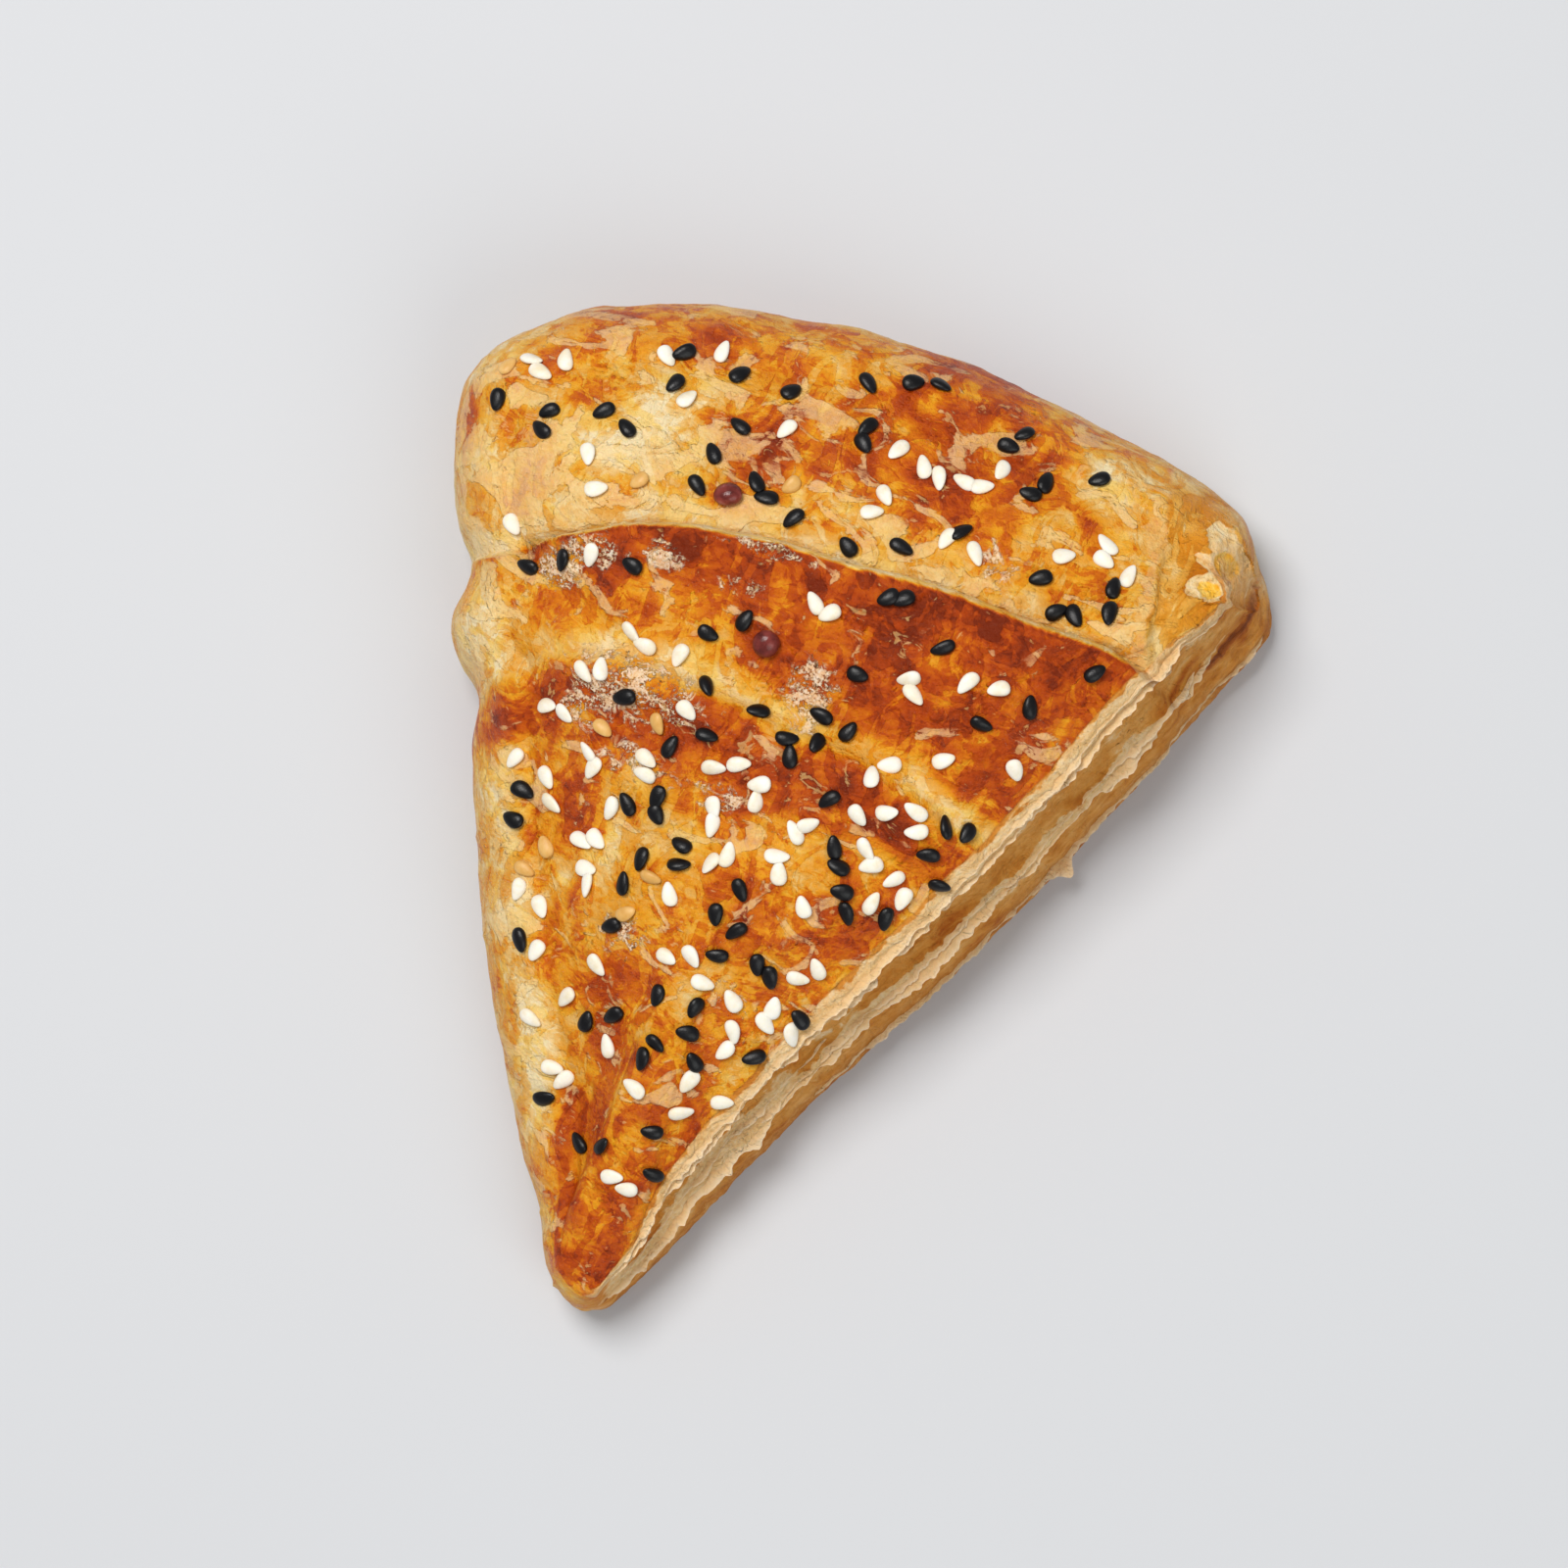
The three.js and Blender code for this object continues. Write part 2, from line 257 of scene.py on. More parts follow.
# Raised blisters of the crust: x, y, half length, half width, turn, height.
BLISTERS = [
    (-19.5, 32.3, 3.4, 2.4, 0, 1), (-22, 30.3, 1.6, 1.4, 0, 0.8), (3.9, 67.5, 3.6, 2.6, -10, 1.1),
    (-35.4, 24.4, 2.6, 1.8, 0, 0.6), (-32.5, 28.8, 3.2, 2, 20, 0.5), (-15.7, 13.4, 5, 2.8, -10, 0.5),
    (-23.7, 10.4, 3.6, 2.4, 10, 0.5), (3.9, 18.8, 2.6, 4.4, 10, 0.6), (2.5, 31.8, 5, 1.6, -6, 0.4),
    (-55.8, 42.4, 1.6, 3.2, 0, 0.7), (33.3, 59.4, 2.8, 2, -30, 0.5), (0.2, 4.9, 3, 1.8, -15, 0.6),
    (-26.1, -11, 3, 1.8, 30, 0.5), (7.9, -15.9, 3, 2.2, 0, 0.5), (-7.4, -30.8, 4, 2.4, 30, 0.5),
    (-10.9, -50.6, 1.8, 4, 0, 0.6), (-7.8, -66.4, 2.4, 2.4, 0, 0.8), (20.4, 53.8, 5, 2.4, -20, 0.5),
]

# The hole torn in the lower layer at the open corner.
HOLE = [
    (53.2, 54.8, 6, 2, -56, 1), (52.2, 50.6, 4.2, 2.6, 20, 1),
    (50.4, 57.4, 3, 1.3, -60, 0.9), (50, 53.6, 2.4, 1, -20, 0.8),
]
PITS = [(52.8, 54.2, 2.6, 1.7, -56, 1.0), (51.8, 50.0, 2.4, 1.5, -30, 0.8)]


def crust_height(x, y, out, edge_drop):
    """Height of the top at a point that lies a share of the way out to the crust's edge."""
    crest = crown(y)
    folds = fold_rise(x, y) * np.minimum(1, crest / HEIGHT) * (1 - 0.35 * out**4)
    here = np.stack([x, y], -1)
    lift = spot_field(x, y, BLISTERS)
    lift = lift + 0.75 * fractal(here, 17, 2, seed=3) + 0.5 * fractal(here, 7, 2, seed=8)
    behind = np.minimum(beyond("back", x, y), 0)
    wrinkled = hump(behind, -6, 6) * smooth(x, -18, 12)
    along = np.stack([x * 0.22 + behind * 0.1, behind], -1)
    lift = lift + wrinkled * 0.45 * np.abs(fractal(along, 2.4, 2, seed=17))
    past = past_corner(x, y)
    step = smooth(past, -0.5, 0.5) * (CORNER_STEP + 0.2 * np.maximum(past, 0))
    return crest - edge_drop * out**EDGE_ROUNDNESS + folds + lift - step


# Side profiles from the crust's edge down to the foot: share of the inset, share of the height.
CUT_PROFILE = [
    (1, 1), (0.88, 0.985), (0.71, 0.945), (0.8, 0.87), (0.76, 0.81), (0.68, 0.745), (0.57, 0.69),
    (0.44, 0.645), (0.28, 0.6), (0.38, 0.52), (0.33, 0.45), (0.22, 0.38), (0.1, 0.31), (0.04, 0.23),
    (0, 0.15), (0.08, 0.06), (0.24, 0),
]
LIPS = (0.12, 0.495, 0.8)  # the three torn lips of that profile, down the side
CORNER_PROFILE = [
    (1, 1), (0.93, 0.985), (0.84, 0.94), (0.88, 0.86), (0.84, 0.8), (0.78, 0.73), (0.7, 0.665),
    (0.6, 0.6), (0.55, 0.54), (0.48, 0.475), (0.38, 0.415), (0.24, 0.35), (0.1, 0.285), (0.08, 0.21),
    (0, 0.14), (0.1, 0.06), (0.26, 0),
]


def profile(points, v):
    """Inset and rise shares at v, from 0 at the crust's edge to 1 at the foot, softened."""
    steps = np.linspace(0, 1, len(points))
    fine = np.linspace(0, 1, 300)
    soft = (softened(np.interp(fine, steps, column), 6) for column in zip(*points))
    return (np.interp(v, fine, column) for column in soft)


# ---- the pastry's mesh


def outline():
    """Turns round the outline: places, inward directions, arc length past the tip, cut side share."""
    fine = curve_through(CUT_SIDE + BACK_SIDE + FOLDED_SIDE, closed=True)
    arc = np.append(0, np.cumsum(np.linalg.norm(np.roll(fine, -1, 0) - fine, axis=1)))
    total = arc[-1]
    corner = arc[CURVE_STEPS * (len(CUT_SIDE) - 1)]
    near_cut = smooth(arc, -6, 4) - smooth(arc, corner + 6, corner + 18) + smooth(arc, total - 10, total)
    weight = 1 + CUT_WEIGHT * near_cut
    warped = np.append(0, np.cumsum((weight[1:] + weight[:-1]) / 2 * np.diff(arc)))
    a = np.interp(np.arange(TURNS) / TURNS * warped[-1], warped, arc)
    closed = np.vstack([fine, fine[:1]])
    rim = np.stack([np.interp(a, arc, closed[:, k]) for k in (0, 1)], -1)
    past_tip = np.where(a < total / 2, a, a - total)
    tangent = unit(np.roll(rim, -1, 0) - np.roll(rim, 1, 0))
    normal = np.stack([-tangent[:, 1], tangent[:, 0]], -1)
    for _ in range(12):
        normal = unit(normal + np.roll(normal, 1, 0) + np.roll(normal, -1, 0))
    inward = unit(mix(normal, unit(CENTRE - rim), hump(past_tip, 0, 16)[:, None]))
    share = smooth(past_tip, -4, 4) * np.where(a < total / 2, 1 - smooth(a, corner - 2, corner + 16), 1)
    return rim, inward, past_tip, share, corner


# How far the crust's edge lies in from the cut side's outline, by share of the way to the corner.
INSET_ALONG = [0, 0.2, 0.5, 0.84, 0.93, 1.1]
INSET_CUT = [4.0, 6.8, 8.2, 8.2, 6.6, 6.0]
TIP_INSET = 3.5
TIP_DROP = 5.0
FOLD_BITES = (("back", 2.6), ("middle", 2.2))  # notches where a fold reaches the folded side
LOBE = 0.8  # how far the folded side swells between those notches
RING_PULLS = (("back", 0.62), ("middle", 0.3))  # draws the rings together along a fold's step
CORNER_PULL = 0.55
LEAN = 1.1  # how far the back fold's lip hangs over
TORN_WAVE, TORN_FRINGE = 0.7, 0.34  # unevenness of the cut side's torn lips


def side_inset(past_tip, share, corner):
    """How far the crust's edge lies in from the outline."""
    cut = np.interp(past_tip, np.array(INSET_ALONG) * corner, INSET_CUT)
    rolled = mix(TIP_INSET, ROLL_INSET, smooth(np.abs(past_tip), 2, 32))
    return mix(rolled, cut, share)


def uneven_rim(rim, inward, share):
    """The outline with the folded side's ripples, notches and lobe."""
    folded = 1 - share
    rim = rim + inward * (0.45 * fractal(rim, 16, 3, seed=41) * folded)[:, None]
    for fold, depth in FOLD_BITES:
        notch = hump(beyond(fold, rim[:, 0], rim[:, 1]), 0, 4.5)
        rim = rim + inward * (depth * folded * (rim[:, 0] < 0) * notch)[:, None]
    between = hump(rim[:, 1], 0.12 * LENGTH, 7) * (rim[:, 0] < 0) * folded
    return rim - inward * (LOBE * between)[:, None]


def crust_ring(edge, edge_drop, out):
    """Places of the crust's ring that lies a share of the way out to the edge."""
    loose = 1 - out**8
    spot = CENTRE + (edge - CENTRE) * out
    for fold, pull in RING_PULLS:
        d = beyond(fold, spot[:, 0], spot[:, 1])
        spot = spot - np.outer(d * pull * hump(d, 0, 3.4) * loose, (0, 1))
    past = past_corner(spot[:, 0], spot[:, 1])
    spot = spot - np.outer(past * CORNER_PULL * hump(past, 0, 2.5) * loose, CORNER_AWAY)
    x, y = spot[:, 0], spot[:, 1]
    d = beyond("back", x, y)
    lean = LEAN * np.exp(np.minimum(d, 0) / 1.3) * (1 - smooth(d, 0.0, 0.8)) * (1 - out**6)
    return np.stack([x, y + lean, crust_height(x, y, out, edge_drop)], -1)


def lip_tears(v, past_tip, at_corner):
    """How far the torn lips stand out at v, the place down the side."""
    total = 0
    line = past_tip[:, None]
    for number, lip in enumerate(LIPS):
        torn = TORN_WAVE * fractal(line, 11, 2, seed=231 + number)
        torn = torn + TORN_FRINGE * fractal(line, 1.5, 3, seed=241 + number)
        total = total + torn * hump(v, lip, 0.045) * (1 - 0.5 * at_corner)
    return total


def pastry_grid():
    """Places and features of every vertex of the crust and the sides, ring by ring."""
    rim, inward, past_tip, share, corner = outline()
    rim = uneven_rim(rim, inward, share)
    inset = side_inset(past_tip, share, corner)
    inset = inset + share * 0.55 * fractal(past_tip[:, None], 5, 3, seed=51)
    edge_drop = mix(mix(TIP_DROP, ROLL_DROP, smooth(np.abs(past_tip), 2, 30)), CUT_DROP, share)
    edge = rim + inward * inset[:, None]
    rings = []
    for ring in range(1, CRUST_RINGS + 1):
        out = ring / CRUST_RINGS
        rings.append((crust_ring(edge, edge_drop, out), np.full(TURNS, out), np.full(TURNS, -1.0)))
    edge_z = rings[-1][0][:, 2]
    at_corner = smooth(past_tip, corner * 0.84, corner * 0.95) * (past_tip > 0)
    for ring in range(1, SIDE_RINGS + 1):
        v = ring / SIDE_RINGS
        angle = np.pi * (0.5 - v)
        lift = math.sin(angle)
        roll_in = (inset if lift > 0 else np.minimum(FOOT_INSET, inset)) * (1 - math.cos(angle))
        roll_z = edge_z * (mix(BULGE_SHARE, 1, lift) if lift > 0 else BULGE_SHARE * (1 + lift))
        bend = 0.035 * fractal(np.stack([past_tip, np.full(TURNS, v * 30)], -1), 11, 2, seed=61)
        level = np.clip(v + bend * math.sin(math.pi * v), 0, 1)
        cut_in, cut_rise = (
            mix(cut, torn, at_corner)
            for cut, torn in zip(profile(CUT_PROFILE, level), profile(CORNER_PROFILE, level))
        )
        spot = rim + inward * mix(roll_in, inset * cut_in, share)[:, None]
        z = mix(roll_z, edge_z * cut_rise, share)
        layered = share * math.sin(math.pi * min(1, v * 1.05)) ** 0.5
        ragged = 0.16 * fractal(np.stack([past_tip * 0.16, z], -1), 1.15, 2, seed=81)
        ragged = ragged + 0.26 * fractal(np.stack([past_tip, z], -1), 3.2, 3, seed=91)
        ragged = ragged + lip_tears(v, past_tip, at_corner)
        spot = spot - inward * (ragged * layered)[:, None]
        rings.append((np.column_stack([spot, z]), np.ones(TURNS), np.full(TURNS, v)))
    return rings, inward, past_tip, share, corner


def stitched_faces(counts, starts):
    """Faces between rings whose counts are equal, doubled or halved from one to the next."""
    faces = []
    for n, m, s, t in zip(counts, counts[1:], starts, starts[1:]):
        if n == m:
            faces += [(s + i, t + i, t + (i + 1) % m, s + (i + 1) % n) for i in range(n)]
            continue
        few, coarse, dense = (n, s, t) if n < m else (m, t, s)
        for i in range(few):
            a, b = coarse + i, coarse + (i + 1) % few
            c, d, e = (dense + (2 * i + k) % (2 * few) for k in range(3))
            trio = [(a, c, d), (a, d, b), (b, d, e)]
            faces += trio if n < m else [(f[0], f[2], f[1]) for f in trio]
    return faces


def closed_faces(counts, starts):
    """Faces of a closed body: a single vertex, rings, and a single vertex at the other end."""
    n, end = counts[-1], starts[-1]
    faces = [(0, 1 + i, 1 + (i + 1) % counts[0]) for i in range(counts[0])]
    faces += stitched_faces(counts, starts)
    return faces + [(end + n, end + (i + 1) % n, end + i) for i in range(n)]


# Section of a torn sheet: share of its reach (or depth inside the pastry), half its thickness.
SHEET_SECTION = ((-1.2, 0.5), (0.45, 0.45), (1.0, 0.14))


def sheet_mesh(core, outward, reach, tilt, thickness, start):
    """A thin torn sheet of dough along the cut side: closed, with a root inside the pastry."""
    n = len(core)
    top, low = [], []
    for depth, half in SHEET_SECTION:
        shift = reach * depth if depth > 0 else np.full(n, depth)
        rise = core[:, 2] + tilt * np.maximum(shift, 0)
        flat = core[:, :2] + outward * shift[:, None]
        top.append(np.column_stack([flat, rise + half * thickness]))
        low.insert(0, np.column_stack([flat, rise - half * thickness]))
    loop = np.stack(top + low, 1)
    count = loop.shape[1]
    faces = []
    for i in range(n - 1):
        for k in range(count):
            a, b = start + i * count + k, start + i * count + (k + 1) % count
            faces.append((a, b, b + count, a + count))
    faces.append(tuple(start + k for k in range(count - 1, -1, -1)))
    faces.append(tuple(start + (n - 1) * count + k for k in range(count)))
    return loop.reshape(-1, 3), faces, np.tile([0, 0.45, 1, 1, 0.45, 0], n)


# Torn sheets of the cut side: place down the side, start and end along it, reach, thickness.
SHEETS = [
    (0.1, 0.03, 0.93, 1.1, 0.26), (0.14, 0, 0.97, 1.3, 0.24), (0.21, 0.02, 0.26, 0.7, 0.24),
    (0.4, 0.02, 0.4, 0.9, 0.24), (0.47, 0.25, 0.92, 1, 0.24), (0.5, 0, 0.94, 1.4, 0.24),
    (0.8, 0.3, 1, 0.9, 0.24),
]
SHEET_STEP = 0.35
SPUR, SPUR_LEVEL = 92.0, 0.8  # where a longer flake sticks out, along the cut side and down it
SPUR_REACH = 2.2
GAP_DEPTH = 0.7  # how much of a sheet is torn away in its gaps


def torn_sheets(rings, inward, past_tip, corner, start):
    """Places, faces and tipness of all the torn sheets. Their vertices are counted from start."""
    all_verts, all_faces, all_tips = [], [], []
    sides = np.stack([place for place, _, _ in rings[CRUST_RINGS - 1:]])
    order = np.argsort(past_tip)

    def along(places, values):
        return np.interp(places, past_tip[order], values[order])

    for number, (v, begin, end, reach, thickness) in enumerate(SHEETS):
        a = np.arange(begin * corner, end * corner, SHEET_STEP)
        line = a[:, None]
        wander = v + 0.008 * fractal(line, 15, 2, seed=101 + number)
        level = np.clip(wander, 0.01, 0.97) * SIDE_RINGS
        low = np.floor(level).astype(int)
        column = np.arange(len(a))
        core = np.empty((len(a), 3))
        for k in range(3):
            lines = np.stack([along(a, side[:, k]) for side in sides])
            core[:, k] = mix(lines[low, column], lines[low + 1, column], level - low)
        outward = -np.stack([along(a, inward[:, k]) for k in (0, 1)], -1)
        torn = 0.8 + 0.5 * fractal(line, 12, 2, seed=131 + number)
        torn = torn + 0.36 * fractal(line, 0.9, 2, seed=151 + number)
        torn = torn * (1 - GAP_DEPTH * smooth(fractal(line, 5.3, 2, seed=171 + number), 0.05, 0.3))
        ends = smooth(a, a[0], a[0] + 5) * (1 - smooth(a, a[-1] - 5, a[-1]))
        size = np.maximum(torn, 0.05) * reach * ends
        if v == SPUR_LEVEL:
            size = size + SPUR_REACH * hump(a, SPUR, 1.4)
        core[:, :2] -= outward * (0.5 * (1 - ends))[:, None]
        tilt = -0.12 + 0.25 * fractal(line, 11, 2, seed=191 + number)
        thick = thickness * (0.8 + 0.35 * fractal(line, 5, 2, seed=211 + number))
        verts, faces, tips = sheet_mesh(core, outward, size, tilt, thick, start)
        all_verts.append(verts)
        all_faces += faces
        all_tips.append(tips)
        start += len(verts)
    return np.vstack(all_verts), all_faces, np.concatenate(all_tips)


def make_mesh(name, verts, faces):
    mesh = bpy.data.meshes.new(name)
    mesh.from_pydata(np.asarray(verts, float).tolist(), [], faces)
    mesh.validate()
    mesh.update()
    return mesh


def add_object(name, data):
    made = bpy.data.objects.new(name, data)
    scene.collection.objects.link(made)
    return made


# Features of every vertex, with their values at the crust's middle, the underside's middle and the
# torn sheets. "down" is -1 on the crust, 0 to 1 down the side and UNDERSIDE below.
UNDERSIDE = 1.5
FEATURES = {
    "out": (0, 1, 1), "down": (-1, UNDERSIDE, 0.5), "cut": (0, 0, 1), "along": (0, 0, 0.5),
}


def make_pastry():
    """The pastry's mesh before its fine relief, with its places and features."""
    rings, inward, past_tip, share, corner = pastry_grid()
    counts, starts, verts = [], [], []
    fields = {k: [] for k in FEATURES}

    def add_ring(place, out, down, keep):
        counts.append(TURNS // keep)
        starts.append(sum(counts[:-1]) + 1)
        verts.append(place[::keep])
        for k, values in zip(FEATURES, (out, down, share, past_tip / corner)):
            fields[k].append(values[::keep])

    for k, (place, out, down) in enumerate(rings):
        keep = 4 if k < CRUST_RINGS * 0.22 else 2 if k < CRUST_RINGS * 0.45 else 1
        add_ring(place, out, down, keep)
    foot = rings[-1][0]
    for k in range(1, UNDER_RINGS):
        place = np.column_stack([mix(foot[:, :2], CENTRE, k / UNDER_RINGS), np.zeros(TURNS)])
        add_ring(place, np.ones(TURNS), np.full(TURNS, UNDERSIDE), 1 if k < 2 else 2 if k < 4 else 4)
    total = sum(counts) + 2
    flat_crown = crust_height(CENTRE[:1], CENTRE[1:], np.zeros(1), np.zeros(1))[0]
    points = np.vstack([[*CENTRE, flat_crown], *verts, [*CENTRE, 0.0]])
    sheet_points, sheet_faces, tips = torn_sheets(rings, inward, past_tip, corner, total)
    faces = closed_faces(counts, starts) + sheet_faces
    points = np.vstack([points, sheet_points])
    field = {
        k: np.concatenate([[first], *fields[k], [last], np.full(len(sheet_points), sheet)])
        for k, (first, last, sheet) in FEATURES.items()
    }
    field["sheet"] = np.concatenate([np.zeros(total), tips * 0.5 + 0.5])
    low, high = points.min(0), points.max(0)
    points[:, :2] = (points[:, :2] - (low + high)[:2] / 2) * (WIDTH, LENGTH) / (high - low)[:2]
    points[:, 2] *= HEIGHT / high[2]
    return make_mesh("pastry_baked", points, faces), points, field


# Relief of each region: strength, size of the features, octaves, seed.
RELIEF_FINE = (0.2, 3.2, 3, 5)
RELIEF_ROLLED = (0.5, 9, 3, 9)
RELIEF_WALL = (0.3, 1.8, 3, 12)
BUBBLE_HEIGHT, BUBBLE_START = 0.35, 0.25
HOLE_EDGE = 0.38
HOLE_ABOVE = 8  # the hole only opens above this height


def relief(points, strength, size, octaves, seed):
    return strength * fractal(points, size, octaves, seed=seed)


def roughen(mesh, points, field):
    """Pushes every vertex along its normal by the fine relief of its region."""
    normals = np.empty(len(points) * 3)
    mesh.vertices.foreach_get("normal", normals)
    normals = normals.reshape(-1, 3)
    x, y, z = points.T
    whole = field["sheet"] == 0
    on_side = (field["down"] >= 0) & (field["down"] <= 1)
    fine = relief(points, *RELIEF_FINE) + 0.1 * np.abs(noise(points, 1.3, seed=6))
    bubbly = np.maximum(noise(points, 2.6, seed=15), BUBBLE_START) - BUBBLE_START
    depth = np.where((field["down"] < 0) & whole, fine + BUBBLE_HEIGHT * bubbly, 0)
    depth = depth + (1 - field["cut"]) * on_side * (relief(points, *RELIEF_ROLLED) + fine)
    depth = depth + field["cut"] * on_side * whole * relief(points, *RELIEF_WALL)
    ragged = 0.5 * fractal(points[:, :2], 2.6, 4, seed=23)
    inside = (z > HOLE_ABOVE) & whole
    torn = spot_field(x, y, HOLE) + ragged
    hole = smooth(torn, HOLE_EDGE, 0.52) * inside
    pit = smooth(spot_field(x, y, PITS) + ragged, 0.3, 0.7) * inside
    crumb = hole * (0.35 + 0.35 * fractal(points, 2.2, 3, seed=25)) + pit * 0.7
    rim = hump(torn, HOLE_EDGE, 0.1) * inside * 0.5
    moved = points + normals * (depth - crumb + rim)[:, None]
    moved[:, 2] = np.maximum(moved[:, 2], 0.0)
    moved[points[:, 2] <= 1e-6, 2] = 0.0
    mesh.vertices.foreach_set("co", (moved * MM).ravel())
    mesh.update()
    return moved, hole * (1 + pit)


# Browner and paler places of the crust: x, y, half length, half width, turn, strength.
BROWNED = [
    (-16.5, 33.4, 10, 2.6, 3, 0.15), (-19.5, 32.3, 2.4, 1.8, 0, 0.4), (2.5, 32.8, 11, 3.4, -4, 0.13),
    (26.5, 33.8, 17, 4.6, -3, 0.19), (35.5, 27.8, 8, 5.5, -35, 0.12), (14.2, 20.6, 9, 7, -10, 0.2),
    (-48.2, 22, 4.5, 3, 20, 0.14), (30.4, 16.8, 9, 4, -50, 0.12), (-37.8, 5.4, 7, 4, 15, 0.19),
    (-0.4, 4.4, 7, 2.4, -10, 0.21), (-27.1, -11, 6, 2.6, 35, 0.19), (-10.4, -50.6, 3.6, 10, 6, 0.3),
    (-7.8, -65.4, 3, 3, 0, 0.14), (9.5, 13.9, 8, 2.4, -18, 0.16), (-0.5, -33.7, 8, 6, 50, 0.09),
    (3.9, 67.9, 3.4, 2.8, 0, 0.31), (-56.3, 42.4, 2.2, 5, 0, 0.29), (2.8, 53.8, 10, 4, -14, 0.1),
    (18.4, 50.3, 11, 2.8, -22, 0.12), (-42.6, 56.4, 6, 2, 20, 0.14), (-14.6, 48.8, 9, 4, -10, 0.1),
    (33.4, 51.8, 5, 7, 10, 0.12), (-13.4, -28.8, 9, 4, 60, 0.07), (16, -9, 6, 5, -50, 0.07),
]
PALED = [
    (-15.5, 38.2, 14, 1.7, 4, 0.16), (6, 38.6, 12, 1.6, -2, 0.12),
    (-38.5, 41.8, 12, 6, 12, 0.3), (-28.6, 44.8, 9, 4, 8, 0.22), (6.4, 43.8, 9, 2.4, -4, 0.2),
    (33.3, 59.4, 6, 4, -20, 0.36), (0.3, 69.4, 6, 2, -6, 0.2), (-43.7, 12.4, 6, 5, 20, 0.14),
    (-33.5, -9, 2.6, 12, 22, 0.28), (-26.7, -20.9, 6, 3, 50, 0.22), (-26.6, 54.8, 7, 3, 10, 0.24),
    (-20.6, -38.7, 2.4, 13, 22, 0.22), (-28.6, 50.8, 5, 3, 0, 0.15), (-7.7, 58.9, 8, 3, 0, 0.1),
]
# Pinkish scales with painted glints: x, y, half length, half width, turn, strength.
PINKED = [
    (-18.7, 12.4, 11, 4.6, -8, 0.8), (-33, 28.3, 5.5, 3, 24, 0.85), (-35.5, 24.4, 3, 2, 0, 1),
    (3.9, 18.8, 4, 6.5, 10, 0.8), (-15.8, 2.4, 6, 3, -10, 0.6), (-3.8, 1.4, 5, 3, 0, 0.6),
    (-12.2, -20.9, 5, 5, 0, 0.5), (-21.5, 30.8, 3.5, 2.4, 0, 0.8), (-6.5, 36, 7, 1.4, 0, 0.75),
    (0.3, 69.9, 5, 1.4, -12, 0.8), (-25.7, 7.9, 5, 4, 0, 0.6), (-9.5, 29.8, 5, 2, 0, 0.5),
    (3.7, -24.8, 4, 3, 0, 0.4), (22.4, 43.8, 6, 3, -40, 0.5),
]


PLAIN_BAKE = 0.56  # how browned the crust is without its regions: 0 is pale, 1 is dark
BAKE_LIMIT = 0.66  # above this the browning grows half as fast


def browning(x, y, field, folds, strip, top):
    """How browned each place of the crust is."""
    back, middle, tip = folds
    bake = PLAIN_BAKE + spot_field(x, y, BROWNED) - spot_field(x, y, PALED)
    behind = smooth(y, 52, 66) * (1 - smooth(x, 12, 30))
    rolled = (1 - field["cut"]) * smooth(field["out"], 0.86, 1.0)
    side = np.sin(np.pi * np.clip(field["down"], 0, 1) * (1 - field["cut"]))
    regions = (
        # In front of the back fold, and on towards the middle fold.
        (0.27, smooth(-back, -0.3, 0.5) * np.exp(np.minimum(back, 0) / 5.5) * smooth(x, -47, -30)),
        (0.1, smooth(-back, 0, 3) * smooth(middle, 1, 6) * smooth(x, -18, 6)),
        # The pale strip behind the back fold, and painted shade in its crack: a dark line.
        (-0.49, smooth(back, 0.3, 0.9) * np.exp(-np.maximum(back - 0.9, 0) / 4.2)),
        (0.55, hump(back, 0.25, 0.3) * smooth(x, -54, -40)),
        # The pale strip behind the middle fold, partly paler dough and partly a painted highlight; the
        # band in front of it; the tip's fold.
        (-0.38, strip),
        (0.26, hump(middle, -5, 4.5)),
        (-0.1, hump(tip, 1, 3)),
        # The back, its middle and its right half.
        (-0.08, smooth(back, 2, 8)),
        (0.09, hump(x, 2, 14) * hump(y, 49, 8)),
        (0.2, smooth(x, -8, 14) * smooth(back, 3, 8) * (1 - smooth(x, 32, 44))),
        # The rolled edge and side, and the tip.
        (-0.1, rolled),
        (0.15, behind * rolled),
        (-0.12, side),
        (0.1, behind * side),
        (0.26, (1 - smooth(y, -62, -38)) * top),
    )
    for amount, region in regions:
        bake = bake + amount * region
    return np.where(bake > BAKE_LIMIT, BAKE_LIMIT + 0.5 * (bake - BAKE_LIMIT), bake)


